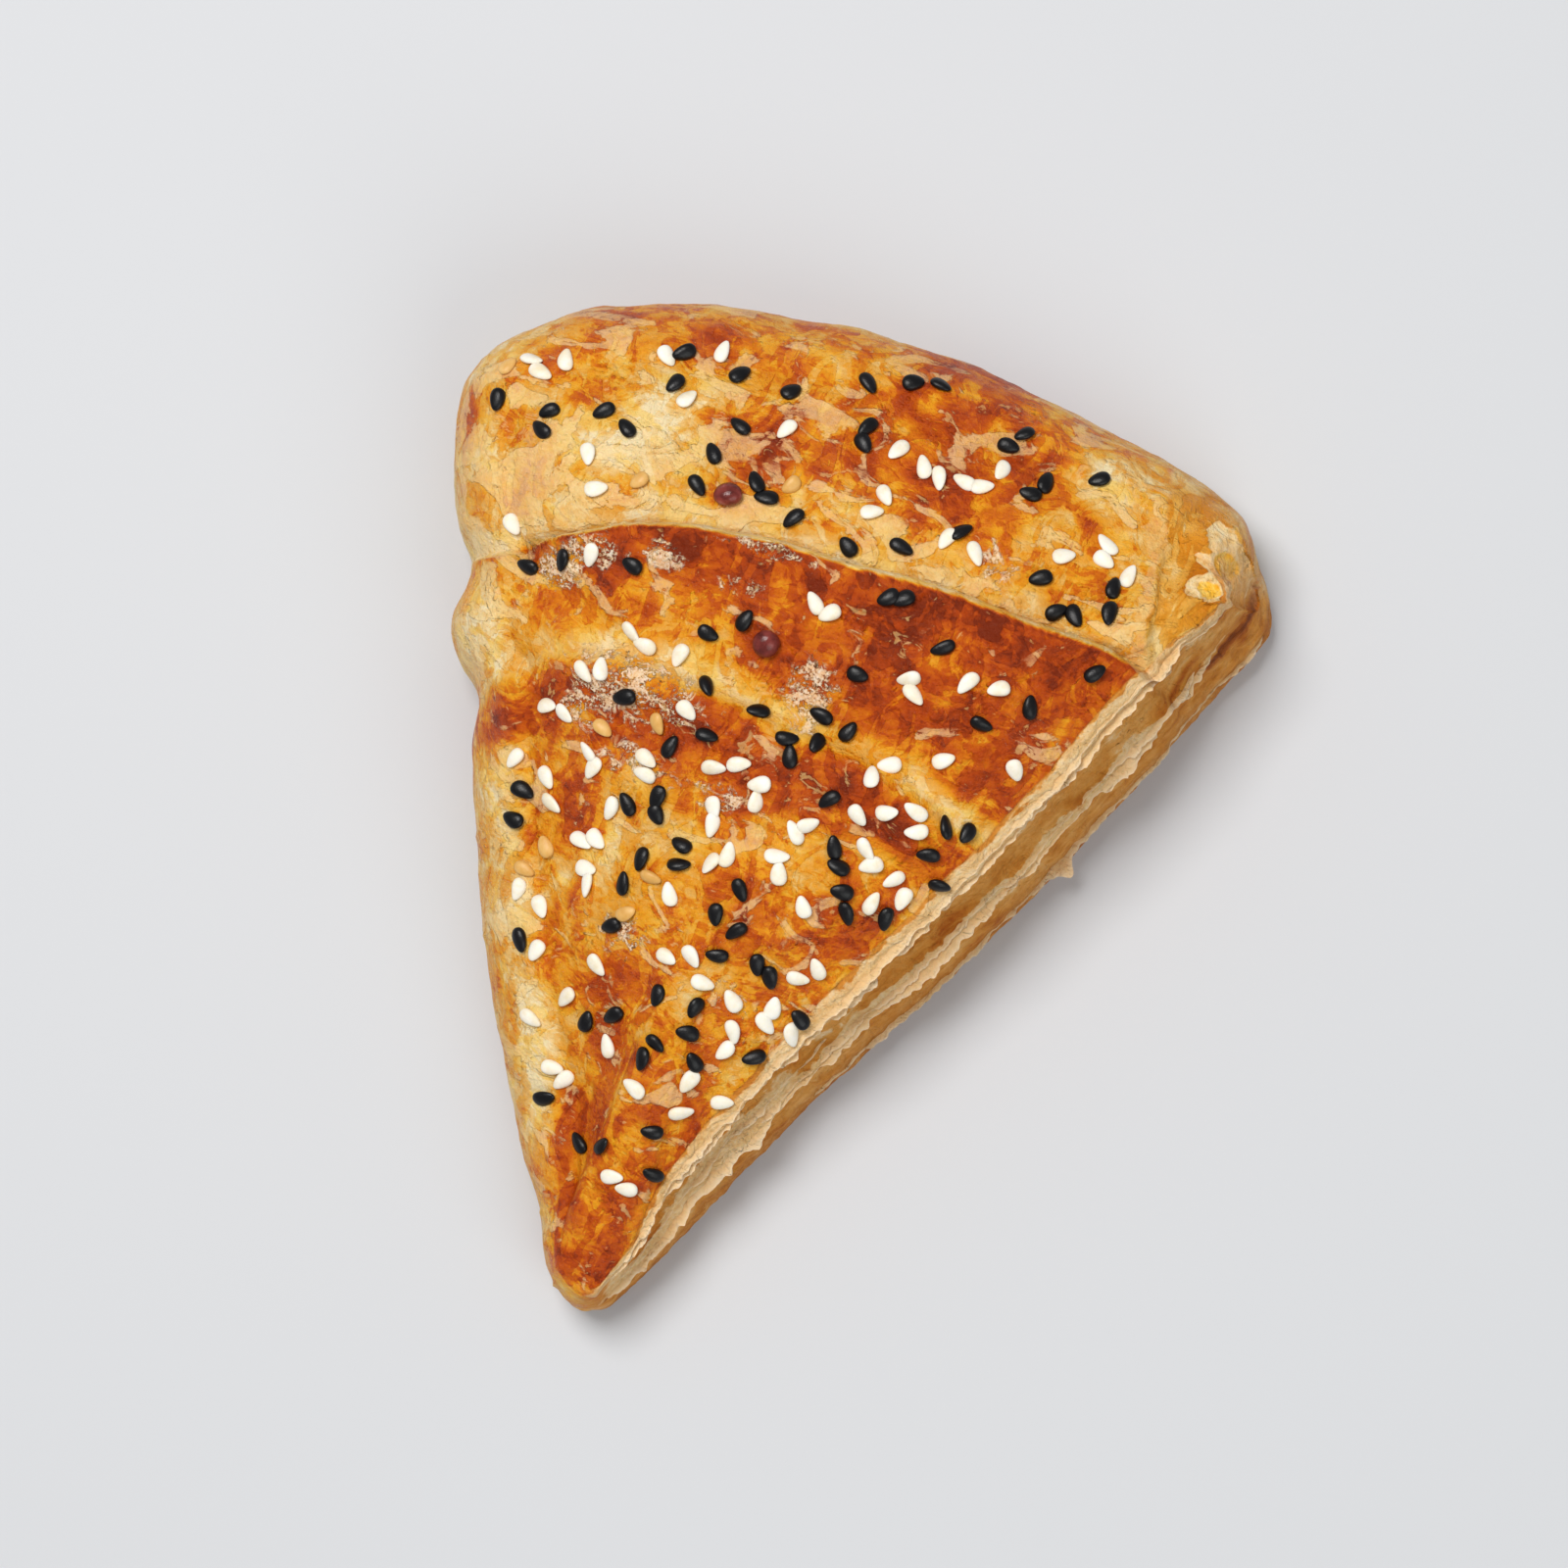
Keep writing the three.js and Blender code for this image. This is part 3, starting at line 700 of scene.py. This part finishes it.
def paint(mesh, points, field, hole):
    """Writes what the crust's material reads: how browned each place is, and what kind it is."""
    x, y, z = points.T
    q, s = field["down"], field["along"]
    back, middle, tip = (beyond(fold, x, y) for fold in FOLDS)
    past = past_corner(x, y)
    whole = field["sheet"] == 0
    top = whole & (q < 0.12)
    # Pale strip behind the middle fold: partly paler dough, partly a painted highlight.
    strip = np.exp(-(((middle - 2.0) / 2.7) ** 2) ** 1.4) * smooth(x, -44, -26)
    wall = field["cut"] * (q > 0.012) * (q <= 1)
    second = hump(q, LIPS[1] - 0.01, 0.05) * (1 - 0.4 * smooth(s, 0.7, 0.85))
    third = 0.4 * hump(q, LIPS[2], 0.04) * smooth(s, 0.4, 0.6)
    tipwards = 0.85 * hump(q, 0.42, 0.13) * (1 - smooth(s, 0.2, 0.5))
    # The foot: browned, and darker still near the floor with painted shade.
    foot = smooth(q, 0.6, 0.85) * wall * (0.75 + 0.25 * smooth(q, 0.86, 0.94))
    values = {
        "bake": browning(x, y, field, (back, middle, tip), strip, top),
        "pink": spot_field(x, y, PINKED) * top,
        "honey": smooth(past, -0.1, 0.6) * whole * (q < 0.5) * (z > 10),
        "wall": wall,
        "cream": np.maximum.reduce([hump(q, LIPS[0], 0.1), second, third, tipwards]) * wall,
        "foot": np.maximum(foot, q > 1.2),
        "crumb": hole,
        "sheet": field["sheet"],
        # Painted shade: a darker band just under the first two torn lips of the cut side.
        "shade": (hump(q, LIPS[0] + 0.075, 0.035) + hump(q, LIPS[1] + 0.075, 0.035)) * wall,
        "calm": np.maximum(strip, smooth(back, 0.2, 1) * np.exp(-np.maximum(back - 1.5, 0) / 1.5) * top),
        "leafy": smooth(back, 0, 4) * (1 - 0.6 * smooth(x, 5, 30)),
        "flap": smooth(past, -2.6, -0.4) * (1 - smooth(past, 0.2, 0.9)) * top,
    }
    for name, value in values.items():
        layer = mesh.attributes.new(name, "FLOAT", "POINT")
        layer.data.foreach_set("value", np.asarray(value, np.float32))


# ---- seeds


def seed_mesh_data(length, width, thickness, taper, ridge, draw):
    """A drop-shaped seed with its point at +X: vertices and faces."""
    rings, turns = SEED_RINGS, SEED_TURNS
    verts = [(length / 2, 0, 0)]
    wobble = [draw.uniform(-1, 1) for _ in range(4)]
    for j in range(1, rings):
        u = math.cos(math.pi * j / rings)
        girth = math.sin(math.pi * j / rings) ** 0.92 * (1 - taper * u)
        bend = 0.05 * wobble[0] * length * (1 - u * u)
        for k in range(turns):
            t = 2 * math.pi * k / turns
            swell = 1 + ridge * math.cos(2 * t + wobble[1]) + 0.05 * wobble[2] * math.cos(3 * t + 2 * u)
            y = girth * width / 2 * math.cos(t) * swell + bend
            z = girth * thickness / 2 * math.sin(t) * swell
            verts.append((u * length / 2, y, z))
    verts.append((-length / 2, 0.05 * wobble[3] * width, 0))
    starts = [1 + j * turns for j in range(rings - 1)]
    return np.array(verts), closed_faces([turns] * len(starts), starts)


# Each kind of seed: length, width and thickness, taper, ridge, slot.
SEED_KINDS = {
    "sesame": ((3.5, 2.15, 1.15), 0.3, 0.0, "sesame"),
    "black": ((3.4, 2.1, 1.35), 0.22, 0.05, "black_seed"),
    "brown": ((3.9, 3.5, 2.6), 0.05, 0.03, "brown_seed"),
    "tan": ((3.1, 2.0, 1.2), 0.25, 0.03, "sesame"),
}
MORE_SEEDS = {"sesame": 74, "black": 70, "tan": 9}
SEED_RINGS, SEED_TURNS = 11, 14
SEED_SPACING = 3.5
PAIR_SHARE = 0.12  # of the seeds that lie closer than that beside another one
PAIR_GAP = (2.1, 3.0)
NODE_LEAN, LEAN_MOST = 0.25, 0.5
SLOPE_REACH = 1.2  # how far from a seed's middle the crust's slope is read
SEED_REST = 0.36  # of its thickness, from the crust to its middle
RAY_START = 0.1  # metres above the ground


class Lcg:
    """Repeatable random numbers."""

    def __init__(self, seed):
        self.state = seed

    def uniform(self, low=0.0, high=1.0):
        self.state = (self.state * 1664525 + 1013904223) % 2**32
        return low + (high - low) * self.state / 2**32


def crust_level(surface, x, y):
    """Height of the crust at a place, or None beside the pastry."""
    place = surface.ray_cast(Vector((x * MM, y * MM, RAY_START)), Vector((0, 0, -1)))[0]
    return place and place.z / MM


def placed_seed(kind, x, y, heading, surface, draw, lean):
    """A seed's vertices where it lies on the crust, a little sunk into it."""
    size, taper, ridge, _ = SEED_KINDS[kind]
    length, width, thickness = (s * draw.uniform(0.92, 1.08) for s in size)
    verts, faces = seed_mesh_data(length, width, thickness, taper, ridge, draw)
    r = SLOPE_REACH
    around = ((0, 0), (r, 0), (-r, 0), (0, r), (0, -r))
    hits = [crust_level(surface, x + dx, y + dy) or 0 for dx, dy in around]
    slope = Vector(((hits[2] - hits[1]) / (2 * r), (hits[4] - hits[3]) / (2 * r), 1)).normalized()
    turn = Vector((0, 0, 1)).rotation_difference(slope).to_matrix() @ Matrix.Rotation(heading, 3, "Z")
    turn = turn @ Matrix.Rotation(lean, 3, "X")
    turned = verts @ np.array(turn).T
    level = (sum(hits[1:]) / 4 + hits[0]) / 2
    return turned + (x, y, level + thickness * SEED_REST / max(slope.z, 0.5)), faces


def node_pose(node):
    """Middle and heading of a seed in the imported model."""
    co = np.array([v.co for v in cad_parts[node].data.vertices]) / MM
    middle = np.sum(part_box(node), 0) / 2 / MM
    flat = co[:, :2] - co[:, :2].mean(0)
    axis = np.linalg.eigh(flat.T @ flat)[1][:, -1]
    if ((flat @ axis) ** 3).sum() < 0:
        axis = -axis
    return middle, math.atan2(axis[1], axis[0])


def density(x, y):
    """How thickly the seeds of the topping lie at a place on the crust."""
    here = np.array([x]), np.array([y])
    if beyond("back", *here)[0] > 0:
        return 0.36 if x < 20 else 0.24
    if beyond("middle", *here)[0] > 0:
        return 0.24
    return 1.0 if y > -0.4 * LENGTH else 0.2


def make_piece(name, verts, faces, kind, materials):
    mesh = make_mesh(name, np.asarray(verts) * MM, faces)
    piece = add_object(name, mesh)
    mesh.materials.append(materials[kind])
    mesh.shade_smooth()
    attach(piece, "root")
    return piece


def make_seeds(surface, edge_test, materials):
    """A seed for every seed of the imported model, then the rest of the topping by kind."""
    draw = Lcg(2024)
    lying, single = [], []
    for node in sorted(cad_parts):
        if node == "pastry":
            continue
        kind = node.split("_")[0]
        middle, heading = node_pose(node)
        lean = draw.uniform(-NODE_LEAN, NODE_LEAN)
        verts, faces = placed_seed(kind, *middle[:2], heading, surface, draw, lean)
        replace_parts(make_piece(node.replace("_seed", "_grain"), verts, faces, kind, materials), node)
        lying.append((middle[0], middle[1]))
    for kind, count in MORE_SEEDS.items():
        all_verts, all_faces, made = [], [], 0
        while made < count:
            beside = draw.uniform() < PAIR_SHARE and single
            if beside:
                pick = int(draw.uniform() * len(single))
                x0, y0 = single[pick]
                angle, gap = draw.uniform(0, 2 * math.pi), draw.uniform(*PAIR_GAP)
                x, y = x0 + gap * math.cos(angle), y0 + gap * math.sin(angle)
            else:
                x, y = draw.uniform(-0.5, 0.5) * WIDTH, draw.uniform(-0.5, 0.5) * LENGTH
            wanted = draw.uniform() < density(x, y)
            heading, lean = draw.uniform(0, 2 * math.pi), draw.uniform(-LEAN_MOST, LEAN_MOST)
            if not wanted or not edge_test(x, y):
                continue
            partner = (x0, y0) if beside else None
            if any(math.hypot(x - a, y - b) < SEED_SPACING for a, b in lying if (a, b) != partner):
                continue
            if beside:
                del single[pick]
            else:
                single.append((x, y))
            verts, faces = placed_seed(kind, x, y, heading, surface, draw, lean)
            start = sum(len(v) for v in all_verts)
            all_verts.append(verts)
            all_faces += [tuple(start + i for i in face) for face in faces]
            lying.append((x, y))
            made += 1
        make_piece("more_" + kind + "_seeds", np.vstack(all_verts), all_faces, kind, materials)


# ---- materials


def linear(hex_colour):
    """A colour such as "#cf8a3c" as the linear values that shaders take."""
    parts = [int(hex_colour[k : k + 2], 16) / 255 for k in (1, 3, 5)]
    return tuple(c / 12.92 if c <= 0.04045 else ((c + 0.055) / 1.055) ** 2.4 for c in parts) + (1.0,)


class Value:
    """A number that a material works out for every point, for use in ordinary sums."""

    def __init__(self, shader, socket):
        self.shader, self.socket = shader, socket

    def math(self, operation, other):
        return Value(self.shader, self.shader.node("Math", 0, {0: self, 1: other}, operation=operation))

    def __add__(self, other):
        return self.math("ADD", other)

    def __sub__(self, other):
        return self.math("SUBTRACT", other)

    def __mul__(self, other):
        return self.math("MULTIPLY", other)

    def larger(self, other):
        return self.math("MAXIMUM", other)

    def centred(self, strength):
        """Noise of 0 to 1 turned into -strength to strength."""
        return (self - 0.5) * (2 * strength)

    def step(self, low, high):
        inputs = {"Value": self, "From Min": low, "From Max": high}
        made = self.shader.node("MapRange", "Result", inputs, interpolation_type="SMOOTHSTEP")
        return Value(self.shader, made)


class Shader:
    """Builds a material's nodes. Sizes are millimetres in the part's frame."""

    def __init__(self, name):
        self.material = bpy.data.materials.new(name)
        self.material.use_nodes = True
        self.tree = self.material.node_tree
        self.surface = self.tree.nodes["Principled BSDF"].inputs
        self.place = self.node("TexCoord", "Object", {})

    def feed(self, socket, value):
        if isinstance(value, Value):
            value = value.socket
        if isinstance(value, bpy.types.NodeSocket):
            self.tree.links.new(value, socket)
        else:
            socket.default_value = value

    def put(self, inputs):
        """Sets or links inputs of the surface."""
        for name, value in inputs.items():
            self.feed(self.surface[name], value)

    def node(self, kind, output, inputs, **settings):
        """Makes a node and gives back one of its outputs."""
        node = self.tree.nodes.new("ShaderNode" + kind)
        for name, value in settings.items():
            setattr(node, name, value)
        for name, value in inputs.items():
            self.feed(node.inputs[name], value)
        return node.outputs[output]

    def texture(self, kind, output, size, stretch, turn, seed, **inputs):
        place = self.node("Mapping", "Vector", {
            "Vector": self.place, "Location": (seed * 3.1, seed * 1.7, seed * 2.3),
            "Rotation": (0, 0, math.radians(turn)), "Scale": tuple(1 / MM / size / s for s in stretch),
        })
        return Value(self, self.node(kind, output, {"Vector": place, "Scale": 1.0, **inputs}))

    def noise(self, size, detail=4, roughness=0.55, distortion=0, stretch=(1, 1, 1), turn=0, seed=0):
        look = {"Detail": detail, "Roughness": roughness, "Distortion": distortion}
        return self.texture("TexNoise", "Fac", size, stretch, turn, seed, **look)

    def cells(self, size, seed):
        return self.texture("TexVoronoi", "Distance", size, (1, 1, 1), 0, seed)

    def value(self, name):
        return Value(self, self.node("Attribute", "Fac", {}, attribute_name=name))

    def ramp(self, value, stops):
        colour = self.node("ValToRGB", "Color", {"Fac": value})
        band = colour.node.color_ramp
        while len(band.elements) < len(stops):
            band.elements.new(0.5)
        for element, (place, tone) in zip(band.elements, stops):
            element.position = place
            element.color = linear(tone)
        return colour

    def blend(self, share, a, b):
        return self.node("Mix", 2, {0: share, 6: a, 7: b}, data_type="RGBA")

    def bump(self, height, distance, strength, **under):
        inputs = {"Distance": distance * MM, "Strength": strength, "Height": height, **under}
        return self.node("Bump", "Normal", inputs)


BAKED_COLOURS = [
    (0.0, "#f2dcae"), (0.16, "#eac27c"), (0.3, "#e3a74c"), (0.44, "#e39418"),
    (0.57, "#d26e05"), (0.68, "#c05203"), (0.8, "#ac3c02"), (1.0, "#761e00"),
]
YELLOW = [(0.1, "#f2c552"), (0.45, "#e89e12")]
STRAW = [(0.35, "#efbf6c"), (0.6, "#f9e0aa")]
# Pale pinkish scales with painted glints: the palest colours stand in for sparkling highlights.
PINK = [(0.3, "#eaa566"), (0.48, "#f5d0a2"), (0.62, "#fff1dc")]
FLAP = [(0.3, "#e6ac5c"), (0.7, "#f4d292")]
HONEY = [(0.34, "#cc760a"), (0.46, "#dc9022"), (0.56, "#e8ae4c"), (0.68, "#f3d596")]
CREAM_CRUMB = [(0.25, "#ebb76c"), (0.5, "#f6d398"), (0.8, "#fdebc4")]
GOLD_CRUMB = [(0.2, "#ee9c12"), (0.45, "#fbbc34"), (0.8, "#ffdc7c")]
AMBER = [(0.26, "#803a0a"), (0.36, "#b45c14"), (0.46, "#d48833"), (0.56, "#e6a454"), (0.68, "#f1c384")]
TORN_LAYERS = [(0.3, "#da9d58"), (0.5, "#edbf84"), (0.7, "#f9deb4")]
FOOT_BROWNING_AND_SHADE = [(0.34, "#9a521a"), (0.5, "#c87c30"), (0.66, "#e5ab62")]
TORN_SHEETS = [(0.45, "#e4ab68"), (0.65, "#f3ca96"), (0.9, "#fde6c4")]


def crust_material():
    s = Shader("baked_crust")
    bake, calm, wall, sheet, crumb = (s.value(name) for name in ("bake", "calm", "wall", "sheet", "crumb"))
    broad = s.noise(13, 2, 0.5, 0.4, seed=1)
    patches = s.noise(5.0, 4, 0.52, 0.5, stretch=(1, 1.5, 1), turn=-25, seed=2)
    streaks = s.noise(2.0, 3, 0.5, 0.2, stretch=(2.6, 1, 1), turn=20, seed=4)
    speckle = s.noise(0.8, 4, 0.7, 0.4, seed=3)
    grain = s.noise(0.42, 3, 0.7, seed=7)
    mottled = broad.centred(0.4) + patches.centred(0.42) + streaks.centred(0.22) + speckle.centred(0.12)
    browned = bake + mottled * (calm * -0.65 + 1.0)
    # Leaves of dough: crisp-edged patches, a little paler or darker, with browned outlines.
    scales = s.noise(6.5, 4, 0.55, 1.8, stretch=(1, 1.7, 1), turn=-20, seed=13).step(0.49, 0.52)
    small_scales = s.noise(2.9, 4, 0.6, 1.4, stretch=(1.5, 1, 1), turn=35, seed=17)
    vein = (small_scales - 0.56).math("ABSOLUTE", 0.0).step(0.016, 0.0)
    browned = browned + scales.centred(0.07) + small_scales.step(0.5, 0.55).centred(0.05) + vein * 0.06
    yellow = s.noise(4.2, 4, 0.55, 0.8, stretch=(1.3, 1, 1), turn=50, seed=21).step(0.49, 0.56)
    # Straw-coloured flakes of the outermost leaf.
    flake = s.noise(5.2, 5, 0.52, 0.9, stretch=(1.6, 1, 1), turn=62, seed=9)
    flake = flake + bake * -0.2 + s.value("leafy") * 0.035 + calm * -0.08
    flake = flake.step(0.47, 0.5) * browned.step(0.95, 0.7)
    # Dry, pinkish scales where the glaze is thin: a pale speckle over orange, partly the scales' own
    # colour and partly painted glints.
    pink = (s.value("pink") + s.noise(3.4, 5, 0.66, 1.0, seed=5).centred(1.0)).step(0.4, 0.6)
    pink = pink * (grain + streaks.centred(0.5)).step(0.4, 0.54)
    # The crust's torn edge at the open corner, and the crumb in the torn hole.
    flap = (s.value("flap") + small_scales.centred(1.6) + patches.centred(1.0)).step(0.55, 0.7)
    cells = s.cells(1.3, seed=3)
    # The cut side: amber hollows, darker with painted shade under the torn lips; pale torn layers; and a
    # browned foot, darker still with painted shade towards the floor.
    leaves = s.noise(1.0, 4, 0.6, 0.3, stretch=(7, 7, 1), seed=11)
    amber = broad * 0.3 + leaves * 0.3 + patches * 0.4 + small_scales.centred(0.1)
    cream = s.value("cream") + leaves.centred(0.4) + patches.centred(0.9)
    cream = (cream + small_scales.centred(0.4) + broad.centred(0.7)).step(0.4, 0.58)
    foot = (s.value("foot") + patches.centred(0.5)).step(0.4, 0.7)
    is_sheet = sheet.step(0.1, 0.4)
    # Each layer of colour: how much it covers, its tone, its colours.
    layers = (
        (yellow * (browned.step(0.56, 0.38) * 0.6), browned, YELLOW),
        (flake * 0.5, speckle * 0.6 + patches * 0.4, STRAW),
        (pink * 0.8, grain * 0.5 + speckle * 0.5, PINK),
        (s.value("honey"), broad * 0.5 + patches * 0.5 + scales.centred(0.05), HONEY),
        (flap * 0.45, speckle, FLAP),
        (crumb.step(0.3, 0.55), cells * 0.5 + speckle * 0.5, CREAM_CRUMB),
        (crumb.step(1.15, 1.5), cells * 0.6 + speckle * 0.5, GOLD_CRUMB),
        # The amber of the cut side, darker with painted shade under each torn lip.
        (wall, amber + s.value("shade") * -0.2, AMBER),
        (cream * wall, leaves * 0.5 + speckle * 0.5, TORN_LAYERS),
        # The foot's browning, with painted shade darkest where it meets the floor.
        (foot, patches * 0.6 + speckle * 0.4, FOOT_BROWNING_AND_SHADE),
        (is_sheet, sheet * 0.6 + leaves * 0.4, TORN_SHEETS),
    )
    colour = s.ramp(browned, BAKED_COLOURS)
    for share, tone, stops in layers:
        colour = s.blend(share, colour, s.ramp(tone, stops))
    # Gloss: beads of fat, and the egg wash in places.
    dry = (pink * 0.6).larger(flake * 0.3).larger(wall.larger(is_sheet))
    beads = s.cells(1.1, seed=6).step(0.42, 0.12)
    beads = beads * (s.noise(7, 3, 0.5, seed=19) + pink * 0.1).step(0.52, 0.64)
    wash = (patches + speckle.centred(0.5)).step(0.42, 0.6) * (dry.step(0.9, 0.2) * 0.34)
    # Relief finer than the mesh.
    sheaf = s.noise(0.8, 4, 0.6, 0.4, stretch=(9, 9, 1), seed=23)
    ridges = patches * 0.5 + streaks * 0.5 + flake * 0.2 + pink * 0.12 + scales * 0.08
    normal = s.bump(ridges + sheaf * (wall * 0.9), 1.1, 0.8)
    normal = s.bump(speckle * 1.2 + grain * 0.7 + beads * 0.7, 0.34, 0.9, Normal=normal)
    s.put({
        "Base Color": colour,
        "Roughness": speckle * 0.2 + 0.34 + dry * 0.26 + beads * -0.12,
        "Specular IOR Level": 0.28,
        "Specular Tint": (1.0, 0.76, 0.5, 1.0),
        "Coat Weight": wash * bake.step(0.95, 0.55),
        "Coat Tint": (1.0, 0.97, 0.92, 1.0),
        "Coat Roughness": 0.11,
        "Subsurface Weight": 0.08,
        "Subsurface Radius": (0.003, 0.0012, 0.0005),
        "Subsurface Scale": 1.0,
        "Normal": normal,
        "Coat Normal": s.bump(speckle + beads * 0.6, 0.5, 0.9, Normal=normal),
    })
    return s.material


# Each kind of seed: name of its material, colours, roughness, subsurface weight.
SEED_LOOKS = {
    "sesame": ("pale_sesame", [(0.3, "#e9d9b8"), (0.5, "#f4ecdc"), (0.75, "#fbf8f0")], 0.42, 0.15),
    "black": ("black_seed", [(0.3, "#040406"), (0.55, "#09080c"), (0.8, "#131119")], 0.36, 0.0),
    "brown": ("brown_seed", [(0.3, "#431210"), (0.55, "#843832"), (0.8, "#cc9088")], 0.2, 0.0),
    "tan": ("tan_seed", [(0.3, "#cf9440"), (0.55, "#e0b067"), (0.8, "#eccb90")], 0.4, 0.1),
}


def seed_material(name, stops, roughness, subsurface):
    s = Shader(name)
    tone = s.noise(1.6, 4, 0.6, seed=2) * 0.6 + s.noise(6, 2, 0.5, seed=5) * 0.4
    s.put({
        "Base Color": s.ramp(tone, stops),
        "Roughness": s.noise(0.5, 3, seed=4).centred(0.1) + roughness,
        "Specular IOR Level": 0.32,
        "Subsurface Weight": subsurface,
        "Subsurface Radius": (0.001, 0.0008, 0.0005),
        "Subsurface Scale": 1.0,
        "Normal": s.bump(s.noise(0.35, 3, 0.6, seed=6), 0.05, 0.8),
    })
    return s.material


# ---- stage


FRAME_SIZE = 222.0  # width of the picture at the pastry, in millimetres
SENSOR = 36
TARGET = np.array([1.6, 7.05, 14.0])
PICTURE_UP = np.array([-0.309, 0.951, 0.0])
CUT_FACING = np.array([0.9, -0.44, 0.0])
CAMERA_DISTANCE = 900.0
CAMERA_TILT = math.radians(7.5)
FLOOR_REACH = 3.0  # metres
FLOOR_COLOUR = "#cecfd3"
ROOM_COLOUR, ROOM_STRENGTH = (0.97, 0.99, 1.0, 1), 0.32
# Each light: direction from the pastry, distance, size, watts, colour.
LIGHTS = {
    "window": ((-0.42, 0.32, 1.5), 1100, 520, 9.7, (1.0, 0.985, 0.96)),
    "fill": ((0.9, -0.7, 1.0), 1200, 900, 4.3, (0.95, 1.0, 0.97)),
}


def facing_matrix(place, target, up):
    forward = (target - place) / np.linalg.norm(target - place)
    true_up = up - forward * (up @ forward)
    true_up = true_up / np.linalg.norm(true_up)
    right = np.cross(forward, true_up)
    turn = Matrix((right, true_up, -forward)).transposed()
    return Matrix.Translation(Vector(place * MM)) @ turn.to_4x4()


def make_camera():
    data = bpy.data.cameras.new("camera")
    data.sensor_width = SENSOR
    data.lens = SENSOR * CAMERA_DISTANCE / FRAME_SIZE
    camera = add_object("camera", data)
    lean = CUT_FACING / np.linalg.norm(CUT_FACING) * math.sin(CAMERA_TILT)
    place = TARGET + CAMERA_DISTANCE * (lean + np.array([0, 0, math.cos(CAMERA_TILT)]))
    camera.matrix_world = facing_matrix(place, TARGET, PICTURE_UP)
    scene.camera = camera


def area_light(name, away, distance, size, power, colour):
    data = bpy.data.lights.new(name, "AREA")
    data.shape = "DISK"
    data.size = size * MM
    data.energy = power
    data.color = colour
    place = TARGET + np.array(away) / np.linalg.norm(away) * distance
    add_object(name, data).matrix_world = facing_matrix(place, TARGET, np.array([0.0, 1.0, 0.01]))


def make_stage():
    shader = Shader("pale_floor")
    shader.put({"Base Color": linear(FLOOR_COLOUR), "Roughness": 0.7})
    corners = [(sx * FLOOR_REACH, sy * FLOOR_REACH, 0) for sx, sy in ((-1, -1), (1, -1), (1, 1), (-1, 1))]
    floor = add_object("floor", make_mesh("floor", corners, [(0, 1, 2, 3)]))
    floor.data.materials.append(shader.material)
    world = bpy.data.worlds.new("soft_room")
    world.use_nodes = True
    background = world.node_tree.nodes["Background"].inputs
    background["Color"].default_value, background["Strength"].default_value = ROOM_COLOUR, ROOM_STRENGTH
    scene.world = world
    for name, settings in LIGHTS.items():
        area_light(name, *settings)
    scene.view_settings.view_transform = "Standard"
    scene.view_settings.look = "None"


# ---- making it all

make_camera()
make_stage()

pastry_mesh, raw_points, raw_field = make_pastry()
final_points, torn_hole = roughen(pastry_mesh, raw_points, raw_field)
paint(pastry_mesh, raw_points, raw_field, torn_hole)
pastry_mesh.materials.append(crust_material())
pastry_mesh.shade_smooth()
pastry_mesh.set_sharp_from_angle(angle=math.radians(50))
pastry = add_object("pastry_baked", pastry_mesh)
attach(pastry, "root")
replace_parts(pastry, "pastry")

surface = BVHTree.FromPolygons(
    (final_points * MM).tolist(), [tuple(p.vertices) for p in pastry_mesh.polygons]
)
SEED_MARGIN = 2.2  # round a seed's middle, where the crust has to be even
LOWEST_SEED = 8
STEEPEST_RISE = 3.2
CORNER_MARGIN, FOLD_MARGIN = 1.5, 1.0


def lies_on_crust(x, y):
    """Whether a seed fits here: on an even place of the crust, away from fold and corner."""
    turns = [k * math.pi / 3 for k in range(6)]
    around = [(x + SEED_MARGIN * math.cos(t), y + SEED_MARGIN * math.sin(t)) for t in turns]
    levels = [crust_level(surface, *place) for place in around + [(x, y)]]
    if None in levels or min(levels) < LOWEST_SEED or max(levels) - min(levels) > STEEPEST_RISE:
        return False
    here = np.array([x]), np.array([y])
    return past_corner(*here)[0] <= -CORNER_MARGIN and abs(beyond("back", *here)[0]) > FOLD_MARGIN


seed_materials = {kind: seed_material(*looks) for kind, looks in SEED_LOOKS.items()}
make_seeds(surface, lies_on_crust, seed_materials)
